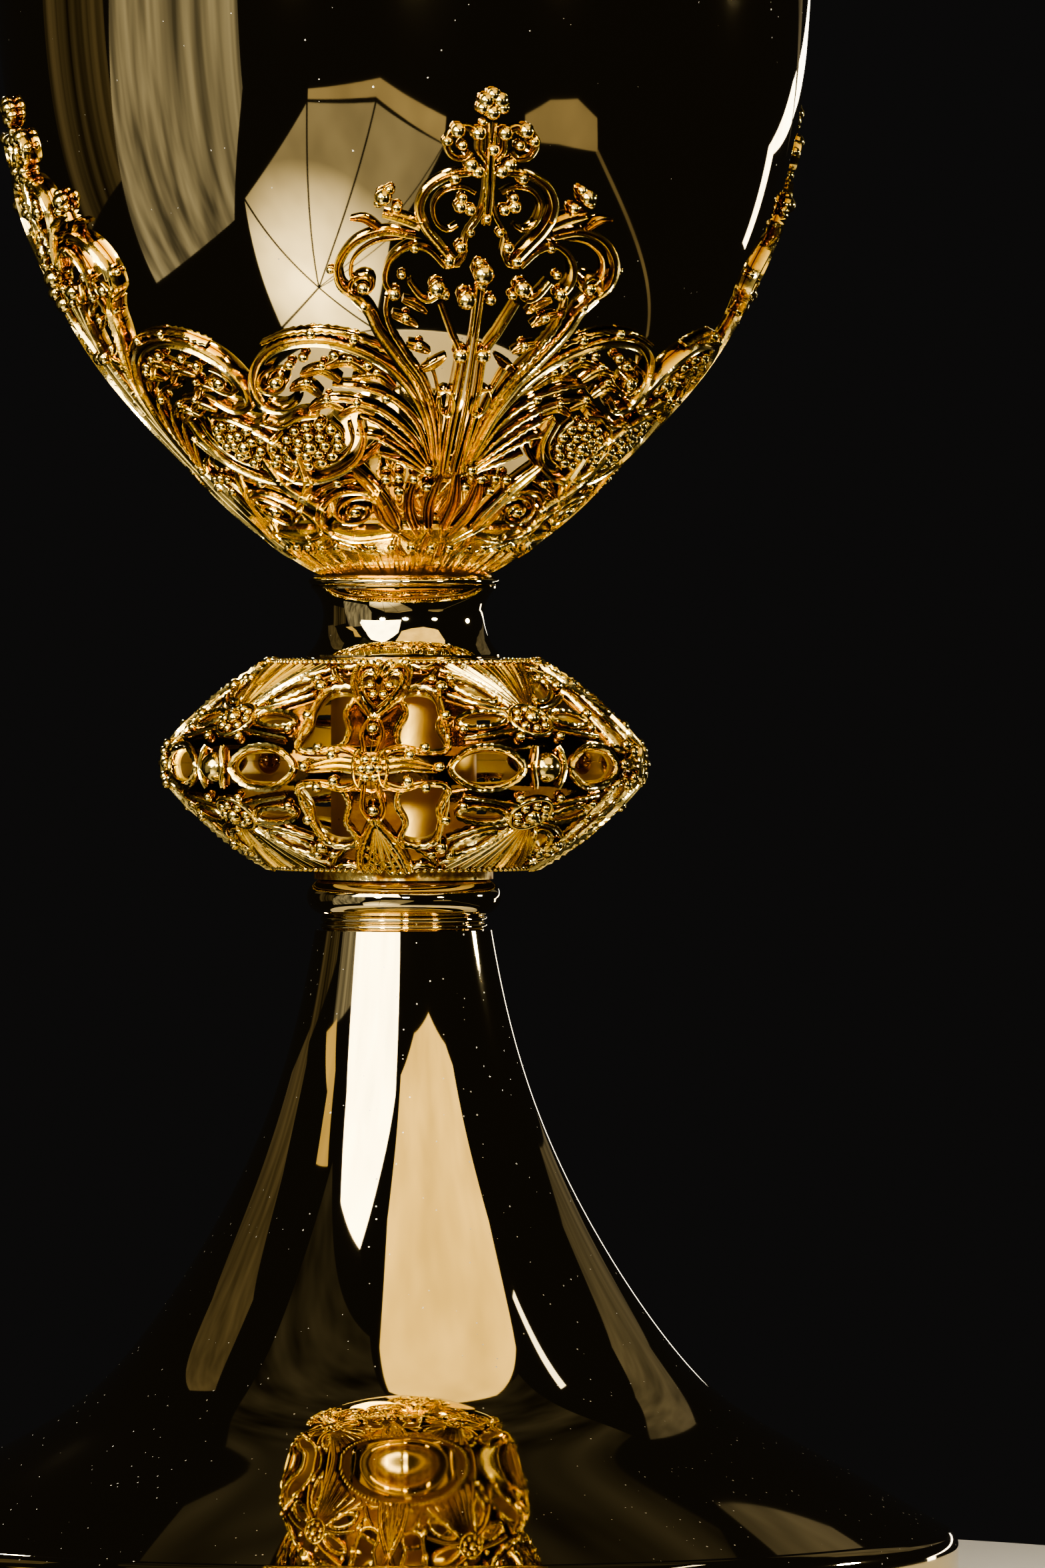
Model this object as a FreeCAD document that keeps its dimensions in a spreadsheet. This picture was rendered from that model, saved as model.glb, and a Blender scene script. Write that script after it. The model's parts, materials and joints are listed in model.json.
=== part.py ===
"""Ciborium: a lidded cup on a knobbed stem and a trumpet foot, as its separate bench pieces.

The origin is on the axis, on the plane that the foot stands on, with +Z up. Millimetres.
Every piece is turned, spun or cast round the Z axis, and its body starts at its own lower end.
"""
import FreeCAD
import Part
import Sketcher
import os
import re

SIZES = {
    # tie rod and the hardware that draws the stem together
    "rod_radius": 4.0,
    "rod_clearance": 0.15,
    "rod_tail": 3.0,
    "nut_across_corners": 15.0,
    "nut_height": 6.5,
    "washer_radius": 9.5,
    "washer_height": 1.6,
    # foot
    "foot_radius": 74.4,
    "foot_height": 90.6,
    "foot_top_radius": 11.9,
    "foot_wall": 1.0,
    "foot_top_wall": 2.0,
    "foot_neck_flare": 2.3,
    "foot_neck_drop": 8.2,
    "foot_waist_radius": 17.8,
    "foot_waist_rise": 0.64,
    "foot_bell_radius": 42.8,
    "foot_bell_rise": 0.178,
    "foot_brim_width": 22.9,
    "foot_brim_rise": 13.6,
    "rim_height": 8.6,
    "rim_wall": 1.2,
    "rim_overhang": 1.8,
    "rim_fall": 2.6,
    "rim_shoulder_round": 3.0,
    "rim_round": 0.4,
    # rings between the foot and the knob
    "bead_ring_height": 2.1,
    "bead_ring_radius": 11.6,
    "bead_wire_radius": 0.45,
    "bead_wire_margin": 0.1,
    "torus_height": 4.9,
    "torus_radius": 13.55,
    "seat_ring_height": 1.7,
    "seat_ring_radius": 12.3,
    # knob
    "knob_height": 28.1,
    "knob_radius": 32.0,
    "knob_end_radius": 17.4,
    "knob_slope_round": 52.0,
    "knob_band": 4.6,
    "knob_wall": 1.5,
    "knob_plate": 1.2,
    "knob_turn": 37.5,
    "knob_tube_radius": 10.0,
    "knob_tube_wall": 1.2,
    "knob_joint_gap": 0.05,
    "knob_bead_radius": 2.2,
    "knob_bead_sink": 0.9,
    "knob_mount_span": 32.0,
    "knob_mount_height": 5.6,
    "knob_mount_depth": 1.5,
    "tall_window_inner": 14.0,
    "tall_window_outer": 18.2,
    "tall_window_lean": 0.6,
    "tall_window_bottom": 4.4,
    "tall_window_top": 11.6,
    "eye_inner": 4.1,
    "eye_outer": 13.6,
    "eye_round": 5.5,
    # neck between the knob and the cup
    "neck_ring_height": 0.6,
    "neck_ring_radius": 13.5,
    "reel_height": 9.9,
    "reel_end_radius": 13.3,
    "reel_waist_radius": 10.6,
    "reel_top_radius": 12.8,
    "reel_edge": 0.4,
    "calyx_seat_height": 1.1,
    "calyx_seat_radius": 13.2,
    # cup
    "cup_radius": 56.2,
    "cup_height": 91.3,
    "cup_wall": 1.0,
    "cup_flat_radius": 9.0,
    "cup_low_radius": 13.0,
    "cup_belly_radius": 44.6,
    "cup_belly_height": 26.1,
    "cup_shoulder_height": 56.9,
    "lip_ring_height": 2.4,
    "boss_radius": 7.5,
    "boss_height": 8.0,
    "boss_bore_depth": 6.6,
    "boss_clearance": 0.2,
    # calyx
    "calyx_flange": 0.7,
    "calyx_foot_radius": 12.0,
    "calyx_gap": 0.25,
    "calyx_wall": 1.2,
    "calyx_turn": 13.0,
    "crest_height": 34.0,
    "crest_dip": 31.0,
    "finial_height": 67.4,
    "finial_lobe_height": 43.7,
    "heart_height": 51.5,
    "trefoil_height": 59.5,
    # lid
    "lid_overhang": 2.2,
    "lid_flange": 1.0,
    "lid_wall": 1.0,
    "lid_dome_margin": 1.8,
    "lid_dome_height": 27.0,
    "lid_shoulder_height": 12.0,
    "lid_crown_radius": 37.0,
    "lid_crown_height": 22.0,
    "lid_neck_radius": 14.0,
    "lid_top_radius": 8.5,
    "lid_top_wall": 1.4,
    "lid_fit_gap": 0.4,
    "lid_ring_wall": 1.0,
    "lid_ring_depth": 6.0,
    "edge_wire_radius": 1.2,
    "edge_wire_margin": 0.2,
    "gallery_wall": 0.8,
    "gallery_height": 6.0,
    "gallery_gap": 0.3,
    "gallery_rail": 1.2,
    "gallery_window": 3.0,
    "gallery_count": 32,
    # finial on the lid
    "stud_radius": 2.5,
    "stud_clearance": 0.1,
    "stud_tail": 1.5,
    "stud_hold": 5.0,
    "stud_washer_radius": 6.0,
    "stud_washer_height": 1.0,
    "stud_nut_across_corners": 9.2,
    "stud_nut_height": 4.0,
    "plinth_height": 7.0,
    "plinth_top_radius": 4.2,
    "plinth_edge": 0.8,
    "knop_height": 10.0,
    "knop_radius": 7.0,
    "knop_end_radius": 3.8,
    "cross_foot_height": 7.0,
    "cross_foot_radius": 4.0,
    "cross_height": 27.0,
    "cross_span": 20.0,
    "cross_arm_height": 17.0,
    "cross_arm_width": 3.4,
    "cross_thickness": 3.0,
    "cross_bud_radius": 2.7,
}

# a half-round edge is this much flatter than a half circle, so that its arc stays the smaller one
HALF_ROUND_EASE = "0.01"

# heights of the joints in the stack, from the floor up
BEAD_RING = "foot_height"
TORUS = BEAD_RING + " + bead_ring_height"
SEAT_RING = TORUS + " + torus_height"
KNOB = SEAT_RING + " + seat_ring_height"
NECK_RING = KNOB + " + knob_height"
REEL = NECK_RING + " + neck_ring_height"
CALYX_SEAT = REEL + " + reel_height"
CALYX = CALYX_SEAT + " + calyx_seat_height"
CUP = CALYX + " + calyx_flange"
LIP = CUP + " + cup_height"
LID_TOP = LIP + " + lid_dome_height"
KNOP = LID_TOP + " + plinth_height"
CROSS = KNOP + " + knop_height"
WASHER = "foot_height - foot_top_wall - washer_height"
ROD_END = WASHER + " - nut_height - rod_tail"
STUD_WASHER = LID_TOP + " - lid_top_wall - stud_washer_height"
STUD_END = STUD_WASHER + " - stud_nut_height - stud_tail"

ROD_BORE = "rod_radius + rod_clearance"
STUD_BORE = "stud_radius + stud_clearance"
BOSS_HOLE = "boss_radius + boss_clearance"

# the lid is sized from the cup that it closes
LID_EDGE = "cup_radius + lid_overhang"
LID_DOME = "cup_radius - lid_dome_margin"

doc = FreeCAD.newDocument("ciborium")
sheet = doc.addObject("Spreadsheet::Sheet", "Sizes")
pieces = []


def fill_sheet():
    """One row for each size: its name, and the cell that the model reads."""
    for row, (alias, size) in enumerate(SIZES.items(), start=1):
        sheet.set(f"A{row}", alias)
        sheet.set(f"B{row}", str(size))
        sheet.setAlias(f"B{row}", alias)
    doc.recompute()


def bound(text):
    """The expression with each size name pointed at its cell in the sheet."""
    def point(word):
        return "Sizes." + word.group() if word.group() in SIZES else word.group()

    return re.sub(r"[a-z_]+", point, text)


def size(text):
    """The present value of an expression of sizes."""
    return float(sheet.evalExpression(text))


def place(piece, height, turn="0"):
    """Set a piece at its height on the axis, turned about it."""
    up = FreeCAD.Vector(0, 0, 1)
    piece.Placement = FreeCAD.Placement(FreeCAD.Vector(0, 0, size(height)), FreeCAD.Rotation(up, size(turn)))
    piece.setExpression("Placement.Base.z", bound(height))
    piece.setExpression("Placement.Rotation.Angle", bound(turn))


def new_body(label, height, turn="0"):
    body = doc.addObject("PartDesign::Body", label)
    body.Label = label
    place(body, height, turn)
    pieces.append(body)
    return body


def origin_feature(body, role):
    return next(feature for feature in body.Origin.OriginFeatures if feature.Role == role)


def new_sketch(body, name, plane="XZ_Plane"):
    sketch = body.newObject("Sketcher::SketchObject", name)
    sketch.AttachmentSupport = [(origin_feature(body, plane), "")]
    sketch.MapMode = "FlatFace"
    return sketch


def vector(point):
    return FreeCAD.Vector(size(point[0]), size(point[1]), 0)


def drive(sketch, kind, *where_and_value):
    """Add a dimension and bind it to its expression."""
    *where, text = where_and_value
    index = sketch.addConstraint(Sketcher.Constraint(kind, *where, size(text)))
    name = f"{kind.lower()}_{index}"
    sketch.renameConstraint(index, name)
    sketch.setExpression("Constraints." + name, bound(text))


def pin_point(sketch, geometry, position, point):
    """Hold one point of a sketch at its two distances from the sketch's origin."""
    drive(sketch, "DistanceX", -1, 1, geometry, position, point[0])
    drive(sketch, "DistanceY", -1, 1, geometry, position, point[1])


def add_step(sketch, start, step):
    """Add a line, an arc or a spline from start, and give its geometry number."""
    kind = step[0]
    if kind == "line":
        return sketch.addGeometry(Part.LineSegment(vector(start), vector(step[1])), False)
    if kind == "arc":
        first, last = vector(start), vector(step[1])
        radius = size(step[2])
        chord = last - first
        rise = radius - (radius ** 2 - chord.Length ** 2 / 4) ** 0.5
        side = FreeCAD.Vector(chord.y, -chord.x, 0).normalize() * rise * step[3]
        index = sketch.addGeometry(Part.Arc(first, (first + last) * 0.5 + side, last), False)
        drive(sketch, "Radius", index, step[2])
        return index
    poles = [vector(point) for point in (start,) + step[1:]]
    index = sketch.addGeometry(Part.BSplineCurve(poles, None, None, False, 3, None, False), False)
    sketch.exposeInternalGeometry(index)
    for pole, point in enumerate(step[1:-1], start=1):
        pin_point(sketch, index + 1 + pole, 3, point)
    return index


def line(across, up):
    return ("line", (across, up))


def arc(across, up, radius, side):
    return ("arc", (across, up), radius, side)


def curve(*poles_and_end):
    return ("curve",) + poles_and_end


def step_end(step):
    return step[-1] if step[0] == "curve" else step[1]


def outline(sketch, start, *steps):
    """Draw a closed outline whose corners are pinned to expressions of sizes.

    Each step is a line, an arc or a curve to its end. An arc bulges to the right of its run where side is 1,
    and to the left where it is -1. A line closes an outline that is left open.
    """
    closing = () if step_end(steps[-1]) == start else (line(*start),)
    here, first, before = start, None, None
    for step in steps + closing:
        end = step_end(step)
        index = add_step(sketch, here, step)
        forward = sketch.getPoint(index, 1).distanceToPoint(vector(here)) < 1e-6
        head, tail = (1, 2) if forward else (2, 1)
        if before is None:
            first = (index, head)
            pin_point(sketch, index, head, here)
        else:
            sketch.addConstraint(Sketcher.Constraint("Coincident", *before, index, head))
        if end == start:
            sketch.addConstraint(Sketcher.Constraint("Coincident", index, tail, *first))
        else:
            pin_point(sketch, index, tail, end)
        here, before = end, (index, tail)


def turned(label, height, start, *steps, turn="0"):
    """A body turned from an outline of (radius, height) points round the Z axis."""
    body = new_body(label, height, turn)
    sketch = new_sketch(body, label + "_outline")
    outline(sketch, start, *steps)
    revolution = body.newObject("PartDesign::Revolution", label + "_turning")
    revolution.Profile = sketch
    revolution.ReferenceAxis = (sketch, ["V_Axis"])
    revolution.Angle = 360
    return body


def ring(label, height, inner, outer, thickness):
    """A plain flat ring."""
    return turned(label, height, (inner, "0"), line(outer, "0"), line(outer, thickness),
                  line(inner, thickness))


def pocket_round(body, name, sketch, depth, count):
    """Cut a sketch outward through the wall on the -Y side, and repeat the cut round the axis."""
    pocket = body.newObject("PartDesign::Pocket", name)
    pocket.Profile = sketch
    pocket.Type = 0
    pocket.Reversed = True
    pocket.setExpression("Length", bound(depth))
    pattern = body.newObject("PartDesign::PolarPattern", name + "_round")
    pattern.Originals = [pocket]
    pattern.Axis = (origin_feature(body, "Z_Axis"), [""])
    pattern.Angle = 360
    pattern.setExpression("Occurrences", bound(count))
    body.Tip = pattern


def mirrored(points):
    """The same outline on the other side of the axis."""
    return tuple((f"-({x})", z) for x, z in points)


def half_round(radius):
    """The arc radius of a half-round edge."""
    return f"{radius} + {HALF_ROUND_EASE}"


def hexagon_nut(label, height, across_corners, thickness, bore):
    prism = doc.addObject("Part::Prism", label + "_prism")
    prism.Polygon = 6
    prism.setExpression("Circumradius", bound(f"({across_corners}) / 2"))
    prism.setExpression("Height", bound(thickness))
    hole = doc.addObject("Part::Cylinder", label + "_hole")
    hole.setExpression("Radius", bound(bore))
    hole.setExpression("Height", bound(thickness))
    nut = doc.addObject("Part::Cut", label)
    nut.Base = prism
    nut.Tool = hole
    nut.Label = label
    place(nut, height)
    pieces.append(nut)


def rod(label, height, radius, top):
    cylinder = doc.addObject("Part::Cylinder", label)
    cylinder.Label = label
    cylinder.setExpression("Radius", bound(radius))
    cylinder.setExpression("Height", bound(f"({top}) - ({height})"))
    place(cylinder, height)
    pieces.append(cylinder)


# ---------------------------------------------------------------- foot

def foot_curve(inset):
    """Poles of the trumpet flare, from the neck down to the brim, moved in by inset."""
    rise = "(foot_height - rim_height)"
    brim = "foot_radius - foot_brim_width"
    return (
        (f"foot_top_radius + foot_neck_flare - ({inset})", "foot_height - foot_neck_drop"),
        (f"foot_waist_radius - ({inset})", f"rim_height + foot_waist_rise * {rise} - 0.3 * ({inset})"),
        (f"foot_bell_radius - 0.7 * ({inset})", f"rim_height + foot_bell_rise * {rise} - 0.8 * ({inset})"),
        (f"{brim} - 0.6 * ({inset})", f"rim_height + foot_brim_rise - 0.9 * ({inset})"),
    )


def foot():
    inner = "foot_radius - 2 * foot_wall"
    under_top = "foot_height - foot_top_wall"
    turned("foot_shell", "0", (ROD_BORE, "foot_height"), line("foot_top_radius", "foot_height"),
           curve(*foot_curve("0"), ("foot_radius", "rim_height")), line(inner, "rim_height"),
           curve(*reversed(foot_curve("foot_wall")), ("foot_top_radius - foot_wall", under_top)),
           line(ROD_BORE, under_top))
    outer = "foot_radius + rim_overhang"
    inner = "foot_radius - rim_wall"
    turned("foot_rim_band", "0", (inner, "0"), line(outer + " - rim_round", "0"),
           arc(outer, "rim_round", "rim_round", 1), line(outer, "rim_height - rim_fall"),
           arc("foot_radius", "rim_height", "rim_shoulder_round", 1), line(inner, "rim_height"))


def foot_hardware():
    ring("clamp_washer", WASHER, ROD_BORE, "washer_radius", "washer_height")
    hexagon_nut("stem_nut", WASHER + " - nut_height", "nut_across_corners", "nut_height", ROD_BORE)
    rod("tie_rod", ROD_END, "rod_radius", CUP + " - boss_height + boss_bore_depth - rod_clearance")


# ---------------------------------------------------------------- rings below the knob

def stem_rings():
    shank = "bead_ring_radius - bead_wire_radius"
    wire = half_round("bead_wire_radius")
    low_end = "bead_wire_margin + 2 * bead_wire_radius"
    turned("bead_ring", BEAD_RING, (ROD_BORE, "0"), line(shank, "0"), line(shank, "bead_wire_margin"),
           arc(shank, low_end, wire, 1), line(shank, f"bead_ring_height - ({low_end})"),
           arc(shank, "bead_ring_height - bead_wire_margin", wire, 1),
           line(shank, "bead_ring_height"), line(ROD_BORE, "bead_ring_height"))
    edge = "torus_radius - torus_height / 2"
    turned("torus_collar", TORUS, (ROD_BORE, "0"), line(edge, "0"),
           arc(edge, "torus_height", half_round("torus_height / 2"), 1), line(ROD_BORE, "torus_height"))
    ring("lower_seat_ring", SEAT_RING, ROD_BORE, "seat_ring_radius", "seat_ring_height")


# ---------------------------------------------------------------- knob

def knob_half(label, flip):
    """One openwork half of the knob. Its heights run from the knob's end to its equator."""
    middle = "knob_height / 2"
    shoulder = "knob_height / 2 - knob_band / 2"

    def level(height):
        return f"knob_height - ({height})" if flip else height

    side = -1 if flip else 1
    body = turned(
        label, KNOB, ("knob_end_radius", level("0")),
        arc("knob_radius", level(shoulder), "knob_slope_round", side),
        line("knob_radius", level(middle)), line("knob_radius - knob_wall", level(middle)),
        line("knob_radius - knob_wall", level(shoulder)),
        arc("knob_end_radius - knob_wall", level("0.5 * knob_wall"), "knob_slope_round", -side),
        line("knob_end_radius - knob_wall", level("0")), turn="knob_turn")
    sketch = new_sketch(body, label + "_windows")
    low, high = level("tall_window_bottom"), level("tall_window_top")
    tall = (("tall_window_inner", low), ("tall_window_outer", low),
            ("tall_window_outer + tall_window_lean", high), ("tall_window_inner", high))
    eye = (("eye_inner", level(middle)), ("eye_outer", level(middle)))
    for corners in (tall, mirrored(tall)):
        outline(sketch, corners[0], *(line(*corner) for corner in corners[1:]))
    for corners, bulge in ((eye, side), (mirrored(eye), -side)):
        outline(sketch, corners[0], arc(*corners[1], "eye_round", bulge))
    pocket_round(body, label + "_cut", sketch, "knob_radius + knob_wall", "4")
    seat = new_sketch(body, label + "_bead_seat")
    circle = seat.addGeometry(Part.Circle(vector(("0", middle)), FreeCAD.Vector(0, 0, 1), 1), False)
    drive(seat, "Radius", circle, "knob_bead_radius + knob_joint_gap")
    pin_point(seat, circle, 3, ("0", middle))
    pocket_round(body, label + "_seats", seat, "knob_radius + knob_wall", "4")


def four_round(label, height, turn, make):
    """Four like solids at right angles round the axis, as one piece."""
    group = doc.addObject("Part::Compound", label)
    group.Links = [make(f"{label}_{number + 1}", 90 * number) for number in range(4)]
    group.Label = label
    place(group, height, turn)
    pieces.append(group)


def knob_bead(name, angle):
    """A ball bead that sits in the wall of the knob, on its equator."""
    bead = doc.addObject("Part::Sphere", name)
    bead.setExpression("Radius", bound("knob_bead_radius"))
    reach = bound("knob_radius - knob_bead_sink")
    bead.setExpression("Placement.Base.x", f"({reach}) * sin({angle} deg)")
    bead.setExpression("Placement.Base.y", f"-({reach}) * cos({angle} deg)")
    return bead


def knob_mount(name, angle):
    """A curved cast mount that covers the seam between two windows."""
    outer = doc.addObject("Part::Cylinder", name + "_outer")
    outer.setExpression("Radius", bound("knob_radius + knob_mount_depth"))
    inner = doc.addObject("Part::Cylinder", name + "_inner")
    inner.setExpression("Radius", bound("knob_radius + knob_joint_gap"))
    for cylinder in (outer, inner):
        cylinder.setExpression("Height", bound("knob_mount_height"))
        cylinder.setExpression("Angle", bound("knob_mount_span"))
    mount = doc.addObject("Part::Cut", name)
    mount.Base = outer
    mount.Tool = inner
    mount.Placement.Rotation = FreeCAD.Rotation(FreeCAD.Vector(0, 0, 1), 0)
    mount.setExpression("Placement.Rotation.Angle", bound(f"{angle} - 90 - knob_mount_span / 2"))
    return mount


def knob():
    plate_radius = "knob_end_radius - knob_wall"
    ring("knob_bottom_plate", KNOB, ROD_BORE, plate_radius, "knob_plate")
    ring("knob_top_plate", NECK_RING + " - knob_plate", ROD_BORE, plate_radius, "knob_plate")
    bore = "knob_tube_radius - knob_tube_wall"
    ring("knob_inner_tube", KNOB + " + knob_plate", bore, "knob_tube_radius", "knob_height - 2 * knob_plate")
    knob_half("knob_lower_shell", False)
    knob_half("knob_upper_shell", True)
    four_round("knob_ball_beads", KNOB + " + knob_height / 2", "knob_turn", knob_bead)
    mount_foot = KNOB + " + knob_height / 2 - knob_mount_height / 2"
    four_round("knob_node_mounts", mount_foot, "knob_turn + 45", knob_mount)


# ---------------------------------------------------------------- neck

def neck():
    ring("neck_ring", NECK_RING, ROD_BORE, "neck_ring_radius", "neck_ring_height")
    recess = "reel_height - (boss_height - calyx_flange - calyx_seat_height) - boss_clearance"
    turned("reel_neck", REEL, (ROD_BORE, "0"), line("reel_end_radius", "0"),
           line("reel_end_radius", "reel_edge"),
           curve(("0.5 * reel_waist_radius + 0.5 * reel_end_radius", "0.16 * reel_height"),
            ("reel_waist_radius", "0.52 * reel_height"),
            ("0.7 * reel_waist_radius + 0.3 * reel_top_radius", "0.84 * reel_height"),
            ("reel_top_radius", "reel_height - reel_edge")),
           line("reel_top_radius", "reel_height"), line(BOSS_HOLE, "reel_height"),
           line(BOSS_HOLE, recess), line(ROD_BORE, recess))
    edge = "calyx_seat_radius - calyx_seat_height / 2"
    turned("calyx_seat_ring", CALYX_SEAT, (BOSS_HOLE, "0"), line(edge, "0"),
           arc(edge, "calyx_seat_height", half_round("calyx_seat_height / 2"), 1),
           line(BOSS_HOLE, "calyx_seat_height"))


# ---------------------------------------------------------------- cup

def cup_curve(proud, base="0"):
    """Poles of the bowl's side from the flat bottom to the lip, moved out by proud, lifted to base."""
    return (
        (f"cup_low_radius + 0.3 * ({proud})", f"{base} - 1.0 * ({proud})"),
        (f"cup_belly_radius + 0.85 * ({proud})", f"{base} + cup_belly_height - 0.6 * ({proud})"),
        (f"cup_radius + ({proud})", f"{base} + cup_shoulder_height - 0.25 * ({proud})"),
    )


def cup():
    turned("cup_bowl", CUP, ("0", "0"), line("cup_flat_radius", "0"),
           curve(*cup_curve("0"), ("cup_radius", "cup_height")), line("cup_radius - cup_wall", "cup_height"),
           curve(*reversed(cup_curve("-cup_wall")), ("cup_flat_radius", "cup_wall")), line("0", "cup_wall"))
    turned("cup_boss", CUP + " - boss_height", (ROD_BORE, "0"), line("boss_radius", "0"),
           line("boss_radius", "boss_height"), line("0", "boss_height"), line("0", "boss_bore_depth"),
           line(ROD_BORE, "boss_bore_depth"))
    turned("cup_lip_ring", LIP + " - lip_ring_height", ("cup_radius", "0"),
           arc("cup_radius", "lip_ring_height", half_round("lip_ring_height / 2"), 1))


def calyx():
    """The basket: a turned shell that follows the bowl, cut away between its four finials."""
    proud = "calyx_gap + calyx_wall"
    rising = cup_curve(proud, "calyx_flange")[1:]
    top = "calyx_flange + cup_height - lip_ring_height - calyx_gap"
    body = turned(
        "calyx", CALYX, (BOSS_HOLE, "0"), line("calyx_foot_radius", "0"),
        curve(("calyx_foot_radius + calyx_wall", "0.2 * calyx_flange"), *rising,
              (f"cup_radius + {proud}", top)),
        line("cup_radius + calyx_gap", top),
        curve(*reversed(cup_curve("calyx_gap", "calyx_flange")), ("cup_flat_radius", "calyx_flange")),
        line(BOSS_HOLE, "calyx_flange"), turn="calyx_turn + 45")
    clear = "cup_radius + 2 * calyx_wall"
    above = "cup_height + calyx_wall"
    heart_low = "0.35 * finial_lobe_height + 0.65 * heart_height"
    heart_high = "0.4 * heart_height + 0.6 * trefoil_height"
    side = (("0.19 * cup_radius", "crest_height"), ("0.43 * cup_radius", "0.97 * crest_height"),
            ("0.32 * cup_radius", "finial_lobe_height"), ("0.40 * cup_radius", heart_low),
            ("0.54 * cup_radius", "heart_height"), ("0.57 * cup_radius", heart_high),
            ("0.63 * cup_radius", "trefoil_height"), ("0.70 * cup_radius", "finial_height"),
            (clear, "finial_height"), (clear, above))
    gap = new_sketch(body, "calyx_gap_outline")
    corners = side + tuple(reversed(mirrored(side)))
    outline(gap, ("0", "crest_dip"), *(line(*corner) for corner in corners))
    pocket_round(body, "calyx_gaps", gap, clear, "4")


# ---------------------------------------------------------------- lid

def lid_curve(inset):
    """Poles of the lid's ogee, from the flange up to the finial, moved in by inset."""
    return (
        (f"{LID_DOME} + 0.4 - ({inset})", f"lid_shoulder_height - 0.2 * ({inset})"),
        (f"lid_crown_radius - 0.5 * ({inset})", f"lid_crown_height - 1.0 * ({inset})"),
        (f"lid_neck_radius - 0.6 * ({inset})", f"lid_crown_height - 0.5 * ({inset})"),
    )


def lid():
    under = "lid_dome_height - lid_top_wall"
    turned("lid_shell", LIP, (LID_DOME + " - lid_wall", "0"), line(LID_EDGE, "0"),
           line(LID_EDGE, "lid_flange"), line(LID_DOME, "lid_flange"),
           curve(*lid_curve("0"), ("lid_top_radius", "lid_dome_height")), line(STUD_BORE, "lid_dome_height"),
           line(STUD_BORE, under), line("lid_top_radius - lid_wall", under),
           curve(*reversed(lid_curve("lid_wall")), (LID_DOME + " - lid_wall", "0")))
    outer = "cup_radius - cup_wall - lid_fit_gap"
    ring("lid_locating_ring", LIP + " - lid_ring_depth", outer + " - lid_ring_wall", outer, "lid_ring_depth")
    wire_outer = LID_EDGE + " - edge_wire_margin"
    wire_inner = wire_outer + " - 2 * edge_wire_radius"
    turned("lid_edge_wire", LIP + " + lid_flange", (wire_inner, "0"), line(wire_outer, "0"),
           arc(wire_inner, "0", half_round("edge_wire_radius"), 1))


def lid_gallery():
    """A low openwork fence that stands on the flange, round the foot of the dome."""
    inner = LID_DOME + " + gallery_gap"
    ring("lid_gallery", LIP + " + lid_flange", inner, inner + " + gallery_wall", "gallery_height")
    body = pieces[-1]
    window = new_sketch(body, "gallery_window_outline")
    half, low = "gallery_window / 2", "gallery_rail"
    high = "gallery_height - gallery_rail - gallery_window / 2"
    outline(window, (f"-{half}", low), line(half, low), line(half, high),
            arc(f"-{half}", high, half_round(half), 1))
    pocket_round(body, "gallery_windows", window, LID_EDGE, "gallery_count")


def lid_finial():
    turned("lid_plinth", LID_TOP, (STUD_BORE, "0"), line("lid_top_radius", "0"),
           line("lid_top_radius", "plinth_edge"),
           curve(("0.75 * lid_top_radius", "2 * plinth_edge"),
                 ("0.8 * plinth_top_radius", "0.6 * plinth_height"),
                 ("plinth_top_radius", "plinth_height - plinth_edge")),
           line("plinth_top_radius", "plinth_height"), line(STUD_BORE, "plinth_height"))
    turned("lid_knop", KNOP, (STUD_BORE, "0"), line("knop_end_radius", "0"),
           curve(("knop_radius", "0.04 * knop_height"), ("1.1 * knop_radius", "knop_height / 2"),
            ("knop_radius", "0.96 * knop_height"), ("knop_end_radius", "knop_height")),
           line(STUD_BORE, "knop_height"))
    ring("lid_stud_washer", STUD_WASHER, STUD_BORE, "stud_washer_radius", "stud_washer_height")
    hexagon_nut("lid_stud_nut", STUD_WASHER + " - stud_nut_height", "stud_nut_across_corners",
                "stud_nut_height", STUD_BORE)
    rod("lid_stud", STUD_END, "stud_radius", CROSS + " + stud_hold - stud_clearance")


def cross_block(name, width, height, x, z):
    block = doc.addObject("Part::Box", name)
    block.setExpression("Length", bound(width))
    block.setExpression("Width", bound("cross_thickness"))
    block.setExpression("Height", bound(height))
    block.setExpression("Placement.Base.x", bound(f"{x} - ({width}) / 2"))
    block.setExpression("Placement.Base.y", bound("-cross_thickness / 2"))
    block.setExpression("Placement.Base.z", bound(z))
    return block


def cross_bud(name, x, z):
    """A round bud at the end of an arm, its axis along Y."""
    bud = doc.addObject("Part::Cylinder", name)
    bud.setExpression("Radius", bound("cross_bud_radius"))
    bud.setExpression("Height", bound("cross_thickness"))
    bud.Placement.Rotation = FreeCAD.Rotation(FreeCAD.Vector(1, 0, 0), 90)
    bud.setExpression("Placement.Base.x", bound(x))
    bud.setExpression("Placement.Base.y", bound("cross_thickness / 2"))
    bud.setExpression("Placement.Base.z", bound(z))
    return bud


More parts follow.
